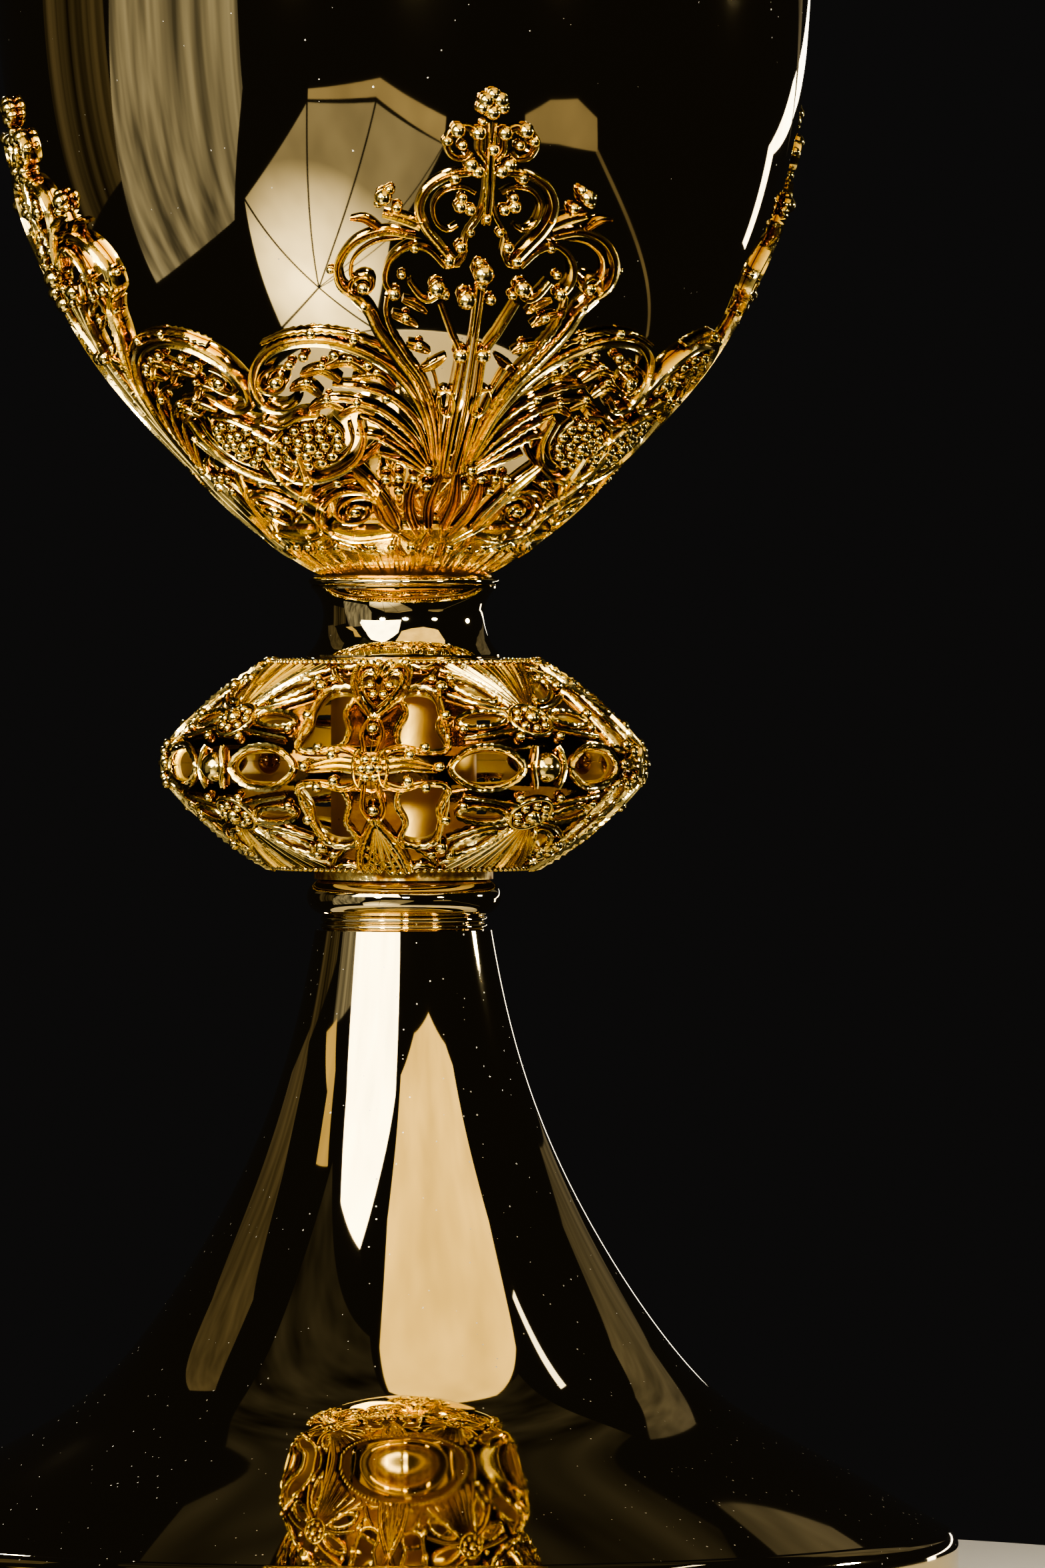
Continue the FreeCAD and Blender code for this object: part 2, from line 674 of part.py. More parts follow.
def lid_cross():
    top = "cross_foot_height + cross_height"
    arm = "cross_foot_height + cross_arm_height"
    upright = "cross_height - cross_bud_radius"
    foot_disc = doc.addObject("Part::Cone", "cross_foot")
    foot_disc.setExpression("Radius1", bound("cross_foot_radius"))
    foot_disc.setExpression("Radius2", bound("cross_foot_radius * 0.8"))
    foot_disc.setExpression("Height", bound("cross_foot_height"))
    shape = doc.addObject("Part::MultiFuse", "cross_body")
    shape.Shapes = [
        foot_disc,
        cross_block("cross_upright", "cross_arm_width", upright, "0", "cross_foot_height"),
        cross_block("cross_beam", "cross_span", "cross_arm_width", "0", arm + " - cross_arm_width / 2"),
        cross_bud("cross_bud_top", "0", top + " - cross_bud_radius"),
        cross_bud("cross_bud_left", "-cross_span / 2", arm),
        cross_bud("cross_bud_right", "cross_span / 2", arm),
    ]
    bore = doc.addObject("Part::Cylinder", "cross_bore")
    bore.setExpression("Radius", bound(STUD_BORE))
    bore.setExpression("Height", bound("stud_hold"))
    cross = doc.addObject("Part::Cut", "lid_cross")
    cross.Base = shape
    cross.Tool = bore
    cross.Label = "lid_cross"
    place(cross, CROSS)
    pieces.append(cross)


def check_and_export():
    """Stop on any failed object or bad shape, then write one STEP file for each piece."""
    doc.recompute()
    failed = [thing.Name for thing in doc.Objects if {"Invalid", "Error"} & set(thing.State)]
    if failed:
        raise RuntimeError("failed to compute: " + ", ".join(failed))
    for piece in pieces:
        if piece.Shape.isNull() or not piece.Shape.isValid() or not piece.Shape.Solids:
            raise RuntimeError("bad shape: " + piece.Label)
    os.makedirs("parts", exist_ok=True)
    for piece in pieces:
        piece.Shape.exportStep(f"parts/{piece.Label}.step")
        print(f"{piece.Label:20s} solids {len(piece.Shape.Solids)}  volume {piece.Shape.Volume:9.1f} mm3")


fill_sheet()
foot()
foot_hardware()
stem_rings()
knob()
neck()
cup()
calyx()
lid()
lid_gallery()
lid_finial()
lid_cross()
check_and_export()
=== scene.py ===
"""Looks of a gilt ciborium: a bowl in a cast openwork calyx, on a pierced knob and a bell foot, with its lid.

Shapes are worked out in millimetres about the upright axis and put in the scene in metres.
Angles round the axis start at the front and grow towards +X.
"""

import json
import math

import bmesh
import bpy
import numpy as np
from bpy.props import FloatProperty, FloatVectorProperty, IntProperty, PointerProperty
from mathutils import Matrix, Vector, geometry


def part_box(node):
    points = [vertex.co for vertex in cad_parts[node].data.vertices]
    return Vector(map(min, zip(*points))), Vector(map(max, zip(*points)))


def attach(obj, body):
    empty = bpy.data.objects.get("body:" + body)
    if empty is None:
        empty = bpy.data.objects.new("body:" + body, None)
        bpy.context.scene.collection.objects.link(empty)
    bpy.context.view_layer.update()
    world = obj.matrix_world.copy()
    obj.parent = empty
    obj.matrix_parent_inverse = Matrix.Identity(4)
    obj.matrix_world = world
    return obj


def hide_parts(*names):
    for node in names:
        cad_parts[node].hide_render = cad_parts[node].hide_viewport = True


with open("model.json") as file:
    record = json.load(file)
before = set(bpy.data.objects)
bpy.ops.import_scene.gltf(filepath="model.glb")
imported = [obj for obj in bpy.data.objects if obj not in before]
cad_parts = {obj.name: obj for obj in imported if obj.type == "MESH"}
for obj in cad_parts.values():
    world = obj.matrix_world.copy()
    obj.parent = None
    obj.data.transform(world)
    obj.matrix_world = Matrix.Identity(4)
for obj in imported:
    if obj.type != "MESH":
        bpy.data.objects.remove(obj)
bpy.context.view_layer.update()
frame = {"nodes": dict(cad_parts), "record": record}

bl_info = {
    "name": "Gilt ciborium",
    "version": (1, 0, 0),
    "blender": (4, 5, 0),
    "location": "View3D > Sidebar > Ciborium",
    "description": "Builds the turned, cast and pierced parts of a gilt ciborium round its CAD frame",
    "category": "Object",
}

MM = 0.001
VESSEL = "vessel"
LID = "lid"
QUARTER = math.pi / 2
ROD_BORE = 4.15     # mm, radius of the holes that the stem's tie rod passes
STUD_BORE = 2.6     # mm, radius of the holes that the lid's stud passes
SEAT_BORE = 7.7     # mm, radius inside the calyx and its seat ring
FLANGE = 1.0        # mm, thickness of the lid's flange


def foot_of(node):
    """Height of a CAD node's underside, in mm."""
    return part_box(node)[0].z / MM


def top_of(node):
    """Height of a CAD node's top, in mm."""
    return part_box(node)[1].z / MM


def reach_of(node):
    """Largest radius of a round CAD node, in mm."""
    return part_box(node)[1].x / MM


def extent(node):
    """Underside, top and largest radius of a round CAD node, in mm."""
    return foot_of(node), top_of(node), reach_of(node)


# ---------------------------------------------------------------- profiles

def spline(poles, count=90):
    """Points along the clamped cubic B-spline with these poles."""
    poles = np.array(poles, float)
    knots = np.concatenate([[0] * 3, np.linspace(0, 1, len(poles) - 2), [1] * 3])
    at = np.linspace(0, 1, count)
    weight = np.array([(low <= at) & (at < high) for low, high in zip(knots, knots[1:])], float)
    weight[len(poles) - 1, -1] = 1
    for degree in (1, 2, 3):
        for i in range(len(knots) - 1 - degree):
            before = knots[i + degree] - knots[i]
            after = knots[i + degree + 1] - knots[i + 1]
            value = np.zeros(count)
            if before:
                value += (at - knots[i]) / before * weight[i]
            if after:
                value += (knots[i + degree + 1] - at) / after * weight[i + 1]
            weight[i] = value
    return weight[:len(poles)].T @ poles


def bow(start, end, rise, count=14):
    """Points on the arc from start to end that swells by rise to the right of that way."""
    start = np.array(start, float)
    end = np.array(end, float)
    chord = end - start
    half = np.hypot(*chord) / 2
    along = chord / (2 * half)
    right = np.array([along[1], -along[0]])
    radius = (half * half + rise * rise) / (2 * rise)
    centre = (start + end) / 2 - right * (radius - rise)
    reach = math.atan2(half, radius - rise)
    turn = np.linspace(-reach, reach, count)[:, None]
    return centre + radius * (np.cos(turn) * right + np.sin(turn) * along)


def foot_side(inset=0.0):
    """The bell of the foot from its neck down to the brim."""
    _, rim, edge = extent("foot_rim_band")
    high = top_of("foot_shell")
    rise = high - rim
    radius = edge - 1.8
    return spline([(12.2 - inset, high), (13.6 - inset, high - 8.2),
                   (17.8 - inset, rim + 0.64 * rise), (42.8 - inset, rim + 0.178 * rise),
                   (radius - 22.9 - inset, rim + 13.6 - inset), (radius, rim - inset)], 150)


def bowl_side(inset=0.0):
    """The bowl from its flat bottom up to the lip."""
    low, high, radius = extent("cup_bowl")
    return spline([(9.0, low + inset), (13.0 - 0.3 * inset, low + inset),
                   (44.6 - 0.85 * inset, low + 26.1 + 0.6 * inset),
                   (radius - inset, low + 56.9 + 0.25 * inset), (radius - inset, high)], 150)


def knob_side(inset=0.0):
    """The knob from its lower end over the equator to its upper end."""
    low = foot_of("knob_lower_shell")
    high = top_of("knob_upper_shell")
    middle = (low + high) / 2
    end = 17.4 - inset
    widest = 32.0 - inset
    slope_swell = 0.85
    return np.concatenate([
        bow((end, low), (widest, middle - 2.3), slope_swell, 40),
        bow((widest, middle - 2.3), (widest, middle + 2.3), 0.25, 9)[1:-1],
        bow((widest, middle + 2.3), (end, high), slope_swell, 40)])


def dome_side(inset=0.0):
    """The lid's ogee up to the plinth, outside from the flange's top and inside from its underside."""
    base = foot_of("lid_shell")
    start = base if inset else base + FLANGE
    return spline([(54.4 - inset, start), (54.8 - inset, base + 12.0),
                   (37.0 - 0.5 * inset, base + 22.0 - inset), (14.0 - 0.6 * inset, base + 22.0 - inset),
                   (8.5 - inset, base + 27.0 - 1.4 * inset)], 90)


# ---------------------------------------------------------------- meshes

def solid_mesh(name, points, faces, relief=None, corner=35):
    """A closed mesh from points in mm, with outward normals and smooth faces between sharp corners."""
    mesh = bpy.data.meshes.new(name)
    mesh.from_pydata((np.asarray(points) * MM).tolist(), [], faces)
    heights = mesh.attributes.new("relief", "FLOAT", "POINT")
    heights.data.foreach_set("value", np.ones(len(points), np.float32) if relief is None
                             else np.asarray(relief, np.float32))
    shell = bmesh.new()
    shell.from_mesh(mesh)
    bmesh.ops.remove_doubles(shell, verts=shell.verts, dist=1e-7)
    bmesh.ops.recalc_face_normals(shell, faces=shell.faces)
    shell.to_mesh(mesh)
    shell.free()
    mesh.polygons.foreach_set("use_smooth", np.ones(len(mesh.polygons), bool))
    mesh.set_sharp_from_angle(angle=math.radians(corner))
    return mesh


def turned(name, *runs, steps=256):
    """A mesh turned round the axis from a closed outline, given as runs of (radius, height)."""
    outline = np.concatenate([np.atleast_2d(np.array(run, float)) for run in runs])
    fresh = np.hypot(*(outline - np.roll(outline, 1, axis=0)).T) > 1e-5
    outline = outline[fresh]
    angles = np.linspace(0, 2 * math.pi, steps, endpoint=False)
    radius = outline[None, :, 0]
    points = np.stack([radius * np.cos(angles)[:, None], radius * np.sin(angles)[:, None],
                       np.broadcast_to(outline[None, :, 1], (steps, len(outline)))], axis=-1)
    count = len(outline)
    start = np.arange(count)
    after = (start + 1) % count
    on_axis = (outline[start, 0] < 1e-5) & (outline[after, 0] < 1e-5)
    start = start[~on_axis]
    after = after[~on_axis]
    faces = []
    for step in range(steps):
        here = step * count
        there = (step + 1) % steps * count
        faces += np.stack([here + start, there + start, there + after, here + after], axis=1).tolist()
    return solid_mesh(name, points.reshape(-1, 3), faces)


class Skin:
    """A turned surface that ornament is laid on, by angle round the axis and length up the profile."""

    def __init__(self, profile, origin=0.0):
        self.radius, self.height = profile.T
        step = np.diff(profile, axis=0)
        self.along = np.concatenate([[0], np.cumsum(np.hypot(*step.T))]) - origin
        slope = np.gradient(profile, self.along, axis=0)
        size = np.hypot(*slope.T)
        self.out = slope[:, 1] / size
        self.up = -slope[:, 0] / size

    def radius_at(self, along):
        """The surface's radius round the axis at this length."""
        return np.interp(along, self.along, self.radius)

    def place(self, angle, along):
        """The points on the surface at these places, and the outward directions there."""
        out = np.interp(along, self.along, self.out)
        up = np.interp(along, self.along, self.up)
        radius = self.radius_at(along)
        sine, cosine = np.sin(angle), np.cos(angle)
        points = np.stack([radius * sine, -radius * cosine, np.interp(along, self.along, self.height)],
                          axis=-1)
        return points, np.stack([out * sine, -out * cosine, up], axis=-1)


SMALL = (8, 5)      # segments and rings of a small bead

# sections of a cast strand: (across, height) from edge to edge, as parts of its half width and its height
RIB = ((-1, 0), (-1, 0.5), (-0.74, 1), (-0.44, 0.86), (0, 0.42), (0.44, 0.86), (0.74, 1), (1, 0.5), (1, 0))
WIRE = ((-1, 0), (-0.87, 0.5), (-0.5, 0.87), (0, 1), (0.5, 0.87), (0.87, 0.5), (1, 0))
LEAF = ((-1, 0), (-0.94, 0.62), (-0.72, 0.78), (-0.36, 0.42), (0, 1), (0.36, 0.42), (0.72, 0.78),
        (0.94, 0.62), (1, 0))


def smooth_path(path, closed):
    """A smooth curve through the given (across, along) points, at even small steps."""
    knots = np.array(path, float)
    if closed:
        knots = np.concatenate([knots[-1:], knots, knots[:2]])
    else:
        knots = np.concatenate([2 * knots[:1] - knots[1:2], knots, 2 * knots[-1:] - knots[-2:-1]])
    share = np.linspace(0, 1, 12, endpoint=False)[:, None]
    runs = []
    for a, b, c, d in zip(knots, knots[1:], knots[2:], knots[3:]):
        runs.append(0.5 * (2 * b + (c - a) * share + (2 * a - 5 * b + 4 * c - d) * share ** 2
                           + (3 * b - a - 3 * c + d) * share ** 3))
    if not closed:
        runs.append(knots[-2:-1])
    return np.concatenate(runs)


def spiral(centre, wide, tight, first, turns, count=22):
    """A volute: (across, along) points that wind from radius wide to radius tight."""
    share = np.linspace(0, 1, count)
    angle = math.radians(first) + share * turns * 2 * math.pi
    radius = wide + (tight - wide) * share
    return [(centre[0] + r * math.cos(a), centre[1] + r * math.sin(a)) for r, a in zip(radius, angle)]


class Casting:
    """Gathers the strands and beads of one cast piece that lies on a skin.

    Places are given as (across, along): across in mm, or in degrees with by_angle, and along in mm
    up the skin. With settle, a pair of scales, lengths on the first come to lie at those on the second.
    """

    def __init__(self, skin, turn=0.0, by_angle=False, settle=None):
        self.skin = skin
        self.turn = turn
        self.by_angle = by_angle
        self.settle = settle
        self.points = []
        self.faces = []
        self.relief = []

    def lay(self, path):
        """The points on the skin for a path, and the outward directions there."""
        across, along = path.T
        if self.settle:
            along = np.interp(along, *self.settle)
        if self.by_angle:
            angle = np.radians(across)
        else:
            angle = across / self.skin.radius_at(along)
        return self.skin.place(self.turn + angle, along)

    def add(self, points, faces, relief):
        """Joins a closed solid to the piece; relief is 0 in hollows and 1 on ridges, and the cast gold paints
        shade where it is low.
        """
        base = len(self.points)
        self.points += points.tolist()
        self.faces += [[base + corner for corner in face] for face in faces]
        self.relief += relief

    def strand(self, path, width, height, form=RIB, ends=(0.75, 0.75), closed=False, lift=0.0, pearls=0.0,
               pitch=0.55):
        """A cast band along the path, width wide at its middle; pearls is the depth of its beading."""
        curve = smooth_path(path, closed)
        centre, out = self.lay(curve)
        run = np.concatenate([[0], np.cumsum(np.linalg.norm(np.diff(centre, axis=0), axis=1))])
        count = max(int(run[-1] / pitch), 6)
        even = np.linspace(0, run[-1], count + 1)
        if closed:
            even = even[:-1]
        centre = np.stack([np.interp(even, run, axis) for axis in centre.T], axis=-1)
        out = np.stack([np.interp(even, run, axis) for axis in out.T], axis=-1)
        if closed:
            ahead = np.roll(centre, -1, axis=0) - np.roll(centre, 1, axis=0)
        else:
            ahead = np.gradient(centre, axis=0)
        side = np.cross(out, ahead)
        side /= np.linalg.norm(side, axis=1)[:, None]
        share = even / run[-1]
        swell = 1 - (1 - ends[0]) * (1 - share) ** 2 - (1 - ends[1]) * share ** 2
        if closed:
            swell = np.ones_like(share)
        beat = 1 - pearls * (0.5 + 0.5 * np.cos(2 * math.pi * even / 1.3))
        across = np.array([u for u, _ in form])
        rise = np.array([h for _, h in form])
        shift = across[None, :] * (width / 2 * swell)[:, None]
        level = lift + rise[None, :] * (height * beat * (0.6 + 0.4 * swell))[:, None]
        points = centre[:, None] + side[:, None] * shift[..., None] + out[:, None] * level[..., None]
        size = len(form)
        rings = len(points)
        faces = []
        for ring in range(rings if closed else rings - 1):
            here = ring * size
            there = (ring + 1) % rings * size
            for corner in range(size):
                beside = (corner + 1) % size
                faces.append((here + corner, here + beside, there + beside, there + corner))
        if not closed:
            faces.append(tuple(range(size)))
            faces.append(tuple((rings - 1) * size + corner for corner in reversed(range(size))))
        # relief is low at the strand's foot, where the cast gold paints shade
        relief = np.broadcast_to(0.15 + 0.85 * rise, (rings, size))
        self.add(points.reshape(-1, 3), faces, relief.ravel().tolist())

    def bead(self, across, along, radius, lift=0.5, segments=10, rings=6):
        """A round bead that sits on the skin; lift is how far its centre stands off, in radii."""
        centre, out = self.lay(np.array([[across, along]], float))
        centre, out = centre[0], out[0]
        side = np.cross(out, (0, 0, 1.0))
        side /= np.linalg.norm(side)
        over = np.cross(side, out)
        centre = centre + out * radius * lift
        points = [centre + out * radius, centre - out * radius]
        for ring in range(1, rings):
            polar = math.pi * ring / rings
            for segment in range(segments):
                turn = 2 * math.pi * segment / segments
                flat = side * math.cos(turn) + over * math.sin(turn)
                points.append(centre + out * radius * math.cos(polar) + flat * radius * math.sin(polar))
        faces = []
        for segment in range(segments):
            beside = (segment + 1) % segments
            faces.append((0, 2 + segment, 2 + beside))
            last = 2 + (rings - 2) * segments
            faces.append((1, last + beside, last + segment))
            for ring in range(rings - 2):
                here = 2 + ring * segments
                there = here + segments
                faces.append((here + segment, there + segment, there + beside, here + beside))
        # relief falls from the bead's top to its underside, which the cast gold paints as shade
        relief = [1.0, 0.0] + [0.5 + 0.5 * math.cos(math.pi * ring / rings) for ring in range(1, rings)
                               for _ in range(segments)]
        self.add(np.array(points), faces, relief)

    def sheet(self, rim, holes, low, high, pitch):
        """A pierced sheet inside the rim, without the holes; all are closed outlines on the skin."""
        outlines = [np.array(rim, float)] + [np.array(hole, float) for hole in holes]
        corners = np.concatenate(outlines)
        edges = []
        base = 0
        for outline in outlines:
            count = len(outline)
            edges += [(base + i, base + (i + 1) % count) for i in range(count)]
            base += count
        low_corner, high_corner = outlines[0].min(0), outlines[0].max(0)
        grid = np.stack(np.meshgrid(np.arange(low_corner[0], high_corner[0], pitch[0]),
                                    np.arange(low_corner[1], high_corner[1], pitch[1])),
                        axis=-1).reshape(-1, 2)
        room = np.min(np.linalg.norm((grid[:, None] - corners[None]) / pitch, axis=2), axis=1)
        grid = grid[room > 0.45]
        flat = [Vector(point) for point in np.concatenate([corners, grid])]
        points, _, triangles, *_ = geometry.delaunay_2d_cdt(flat, edges, [], 0, 1e-6)
        points = np.array([tuple(point) for point in points])
        triangles = np.array([tuple(triangle) for triangle in triangles])
        middle = points[triangles].mean(1)
        keep = inside(middle, outlines[0])
        for hole in outlines[1:]:
            keep &= ~inside(middle, hole)
        triangles = triangles[keep]
        used, compact = np.unique(triangles, return_inverse=True)
        triangles = compact.reshape(-1, 3)
        centre, out = self.lay(points[used])
        count = len(used)
        solid = np.concatenate([centre + out * high, centre + out * low])
        faces = triangles.tolist() + (triangles[:, ::-1] + count).tolist()
        pairs = np.concatenate([triangles[:, (0, 1)], triangles[:, (1, 2)], triangles[:, (2, 0)]])
        seen = {tuple(pair) for pair in pairs.tolist()}
        faces += [(b, a, a + count, b + count) for a, b in pairs.tolist() if (b, a) not in seen]
        # the outer face gets relief 0.2, so the cast gold paints it with dark shade; the inner face gets 2.0,
        # bright and satin
        self.add(solid, faces, [0.2] * count + [2.0] * count)

    def mesh(self, name):
        """The finished piece as a mesh."""
        return solid_mesh(name, np.array(self.points), self.faces, self.relief, corner=50)


def inside(points, outline):
    """Which points lie inside a closed outline."""
    x, y = points[:, 0, None], points[:, 1, None]
    ax, ay = outline.T
    bx, by = np.roll(outline, -1, axis=0).T
    spans = (ay > y) != (by > y)
    crossing = ax + (y - ay) * (bx - ax) / np.where(by == ay, 1e-9, by - ay)
    return np.sum(spans & (x < crossing), axis=1) % 2 == 1


def oval(centre, half_long, half_wide, tilt=0.0, count=22):
    """A closed oval outline, its long way tilted by degrees."""
    outline = []
    c, s = math.cos(math.radians(tilt)), math.sin(math.radians(tilt))
    for step in range(count):
        turn = 2 * math.pi * step / count
        u = half_long * math.cos(turn)
        w = half_wide * math.sin(turn)
        outline.append((centre[0] + u * c - w * s, centre[1] + u * s + w * c))
    return outline


# ---------------------------------------------------------------- pieces

def repeat_tree():
    """Geometry nodes that set a part round the axis and give it its material."""
    name = "Repeat round the axis"
    if name in bpy.data.node_groups:
        return bpy.data.node_groups[name]
    tree = bpy.data.node_groups.new(name, "GeometryNodeTree")
    sockets = tree.interface
    sockets.new_socket("Part", in_out="INPUT", socket_type="NodeSocketGeometry")
    sockets.new_socket("Count", in_out="INPUT", socket_type="NodeSocketInt")
    sockets.new_socket("Finish", in_out="INPUT", socket_type="NodeSocketMaterial")
    sockets.new_socket("Whole", in_out="OUTPUT", socket_type="NodeSocketGeometry")
    nodes = tree.nodes
    given = nodes.new("NodeGroupInput")
    single = nodes.new("GeometryNodeGeometryToInstance")
    copies = nodes.new("GeometryNodeDuplicateElements")
    copies.domain = "INSTANCE"
    step = nodes.new("ShaderNodeMath")
    step.operation = "DIVIDE"
    step.inputs[0].default_value = 2 * math.pi
    angle = nodes.new("ShaderNodeMath")
    angle.operation = "MULTIPLY"
    spin = nodes.new("ShaderNodeCombineXYZ")
    rotation = nodes.new("FunctionNodeEulerToRotation")
    turn = nodes.new("GeometryNodeRotateInstances")
    turn.inputs["Local Space"].default_value = False
    real = nodes.new("GeometryNodeRealizeInstances")
    finish = nodes.new("GeometryNodeSetMaterial")
    result = nodes.new("NodeGroupOutput")
    link = tree.links.new
    link(given.outputs["Part"], single.inputs[0])
    link(single.outputs[0], copies.inputs["Geometry"])
    link(given.outputs["Count"], copies.inputs["Amount"])
    link(given.outputs["Count"], step.inputs[1])
    link(copies.outputs["Duplicate Index"], angle.inputs[0])
    link(step.outputs[0], angle.inputs[1])
    link(angle.outputs[0], spin.inputs["Z"])
    link(spin.outputs[0], rotation.inputs[0])
    link(copies.outputs["Geometry"], turn.inputs["Instances"])
    link(rotation.outputs[0], turn.inputs["Rotation"])
    link(turn.outputs[0], real.inputs[0])
    link(real.outputs[0], finish.inputs["Geometry"])
    link(given.outputs["Finish"], finish.inputs["Material"])
    link(finish.outputs[0], result.inputs[0])
    return tree


def repeated(name, part, count, material):
    """A plain mesh of count copies of a part, evenly round the axis."""
    source = bpy.data.objects.new(name + "_part", part)
    bpy.context.scene.collection.objects.link(source)
    tree = repeat_tree()
    values = {"Count": count, "Finish": material}
    modifier = source.modifiers.new("Repeat", "NODES")
    modifier.node_group = tree
    for socket in tree.interface.items_tree:
        if socket.name in values:
            modifier[socket.identifier] = values[socket.name]
    bpy.context.view_layer.update()
    graph = bpy.context.evaluated_depsgraph_get()
    whole = bpy.data.meshes.new_from_object(source.evaluated_get(graph), depsgraph=graph)
    whole.name = name
    bpy.data.objects.remove(source)
    return whole


def show(name, mesh, material, body, slot, *nodes):
    """Puts a finished mesh in the scene on its body, in place of these CAD nodes."""
    piece = bpy.data.objects.new(name, mesh)
    bpy.context.scene.collection.objects.link(piece)
    mesh.materials.clear()
    mesh.materials.append(material)
    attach(piece, body)
    if nodes:
        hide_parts(*nodes)


def show_turned(name, body, node, *runs, finish="Polished gold", steps=256):
    """Turns a piece from its outline and shows it in place of a CAD node."""
    show(name, turned(name, *runs, steps=steps), named(finish), body, "polished_gold", node)


def show_rounded_ring(node, bore, count=16):
    """Shows a ring with a half-round outside, as tall and wide as its CAD node."""
    low, high, reach = extent(node)
    half = (high - low) / 2
    show_turned(node + "_smooth", VESSEL, node, (bore, low),
                bow((reach - half, low), (reach - half, high), half - 0.01, count), (bore, high))


def show_round(name, cast, count, body, *nodes):
    """Repeats a casting round the axis and shows the whole in place of these CAD nodes."""
    gold = named("Cast gold")
    show(name, repeated(name, cast.mesh(name + "_one"), count, gold), gold, body, "cast_gold", *nodes)


# ---------------------------------------------------------------- finishes

def effect(name, inputs, outputs):
    """A shader node group with named sockets: its tree, the values given to it and its results."""
    tree = bpy.data.node_groups.new(name, "ShaderNodeTree")
    for label, value in inputs.items():
        socket = tree.interface.new_socket(label, in_out="INPUT", socket_type="NodeSocketFloat")
        socket.default_value = value
    for label in outputs:
        tree.interface.new_socket(label, in_out="OUTPUT", socket_type="NodeSocketFloat")
    given = tree.nodes.new("NodeGroupInput")
    result = tree.nodes.new("NodeGroupOutput")
    return tree, given.outputs, result.inputs


def noise(tree, scale, detail=2.0, distortion=0.0):
    """Noise on the object's own coordinates."""
    node = tree.nodes.new("ShaderNodeTexNoise")
    node.inputs["Detail"].default_value = detail
    node.inputs["Distortion"].default_value = distortion
    if isinstance(scale, (int, float)):
        node.inputs["Scale"].default_value = scale
    else:
        tree.links.new(scale, node.inputs["Scale"])
    spot = tree.nodes.new("ShaderNodeTexCoord")
    tree.links.new(spot.outputs["Object"], node.inputs["Vector"])
    return node


def ramp(tree, value, low, high, out_low=0.0, out_high=1.0):
    """A clamped remap of a value from low..high."""
    node = tree.nodes.new("ShaderNodeMapRange")
    tree.links.new(value, node.inputs["Value"])
    for label, number in (("From Min", low), ("From Max", high), ("To Min", out_low), ("To Max", out_high)):
        node.inputs[label].default_value = number
    return node.outputs["Result"]


def calculate(tree, operation, *values):
    """The result of a maths node on these numbers or sockets."""
    node = tree.nodes.new("ShaderNodeMath")
    node.operation = operation
    for socket, value in zip(node.inputs, values):
        if isinstance(value, (int, float)):
            socket.default_value = value
        else:
            tree.links.new(value, socket)
    return node.outputs[0]


def dust_group():
    """Fine dust: a mask of scattered specks, Amount 0 to 1."""
    tree, given, result = effect("Dust specks", {"Scale": 900.0, "Amount": 0.3}, ("Mask",))
    cells = tree.nodes.new("ShaderNodeTexVoronoi")
    spot = tree.nodes.new("ShaderNodeTexCoord")
    tree.links.new(spot.outputs["Object"], cells.inputs["Vector"])
    tree.links.new(given["Scale"], cells.inputs["Scale"])
    random = tree.nodes.new("ShaderNodeSeparateColor")
    tree.links.new(cells.outputs["Color"], random.inputs["Color"])
    chosen = calculate(tree, "LESS_THAN", random.outputs["Red"], given["Amount"])
    size = ramp(tree, random.outputs["Green"], 0.0, 1.0, 0.05, 0.16)
    small = calculate(tree, "LESS_THAN", cells.outputs["Distance"], size)
    tree.links.new(calculate(tree, "MULTIPLY", chosen, small), result["Mask"])
    return tree


def polish_group():
    """Buffing marks: long faint swirls as a height, and patches where the shine is duller."""
    tree, given, result = effect("Buffing marks", {"Scale": 60.0}, ("Height", "Dull"))
    swirl = noise(tree, given["Scale"], 3.0, 1.5)
    tree.links.new(swirl.outputs["Fac"], result["Height"])
    cloud = noise(tree, 22.0, 4.0, 0.4)
    tree.links.new(ramp(tree, cloud.outputs["Fac"], 0.45, 0.75), result["Dull"])
    return tree


def grain_group():
    """Cast skin: a fine uneven height."""
    tree, given, result = effect("Casting grain", {"Scale": 700.0}, ("Height",))
    fine = noise(tree, given["Scale"], 2.0, 0.3)
    coarse = noise(tree, 260.0, 2.0, 0.6)
    both = calculate(tree, "MULTIPLY_ADD", coarse.outputs["Fac"], 1.6, fine.outputs["Fac"])
    tree.links.new(both, result["Height"])
    return tree


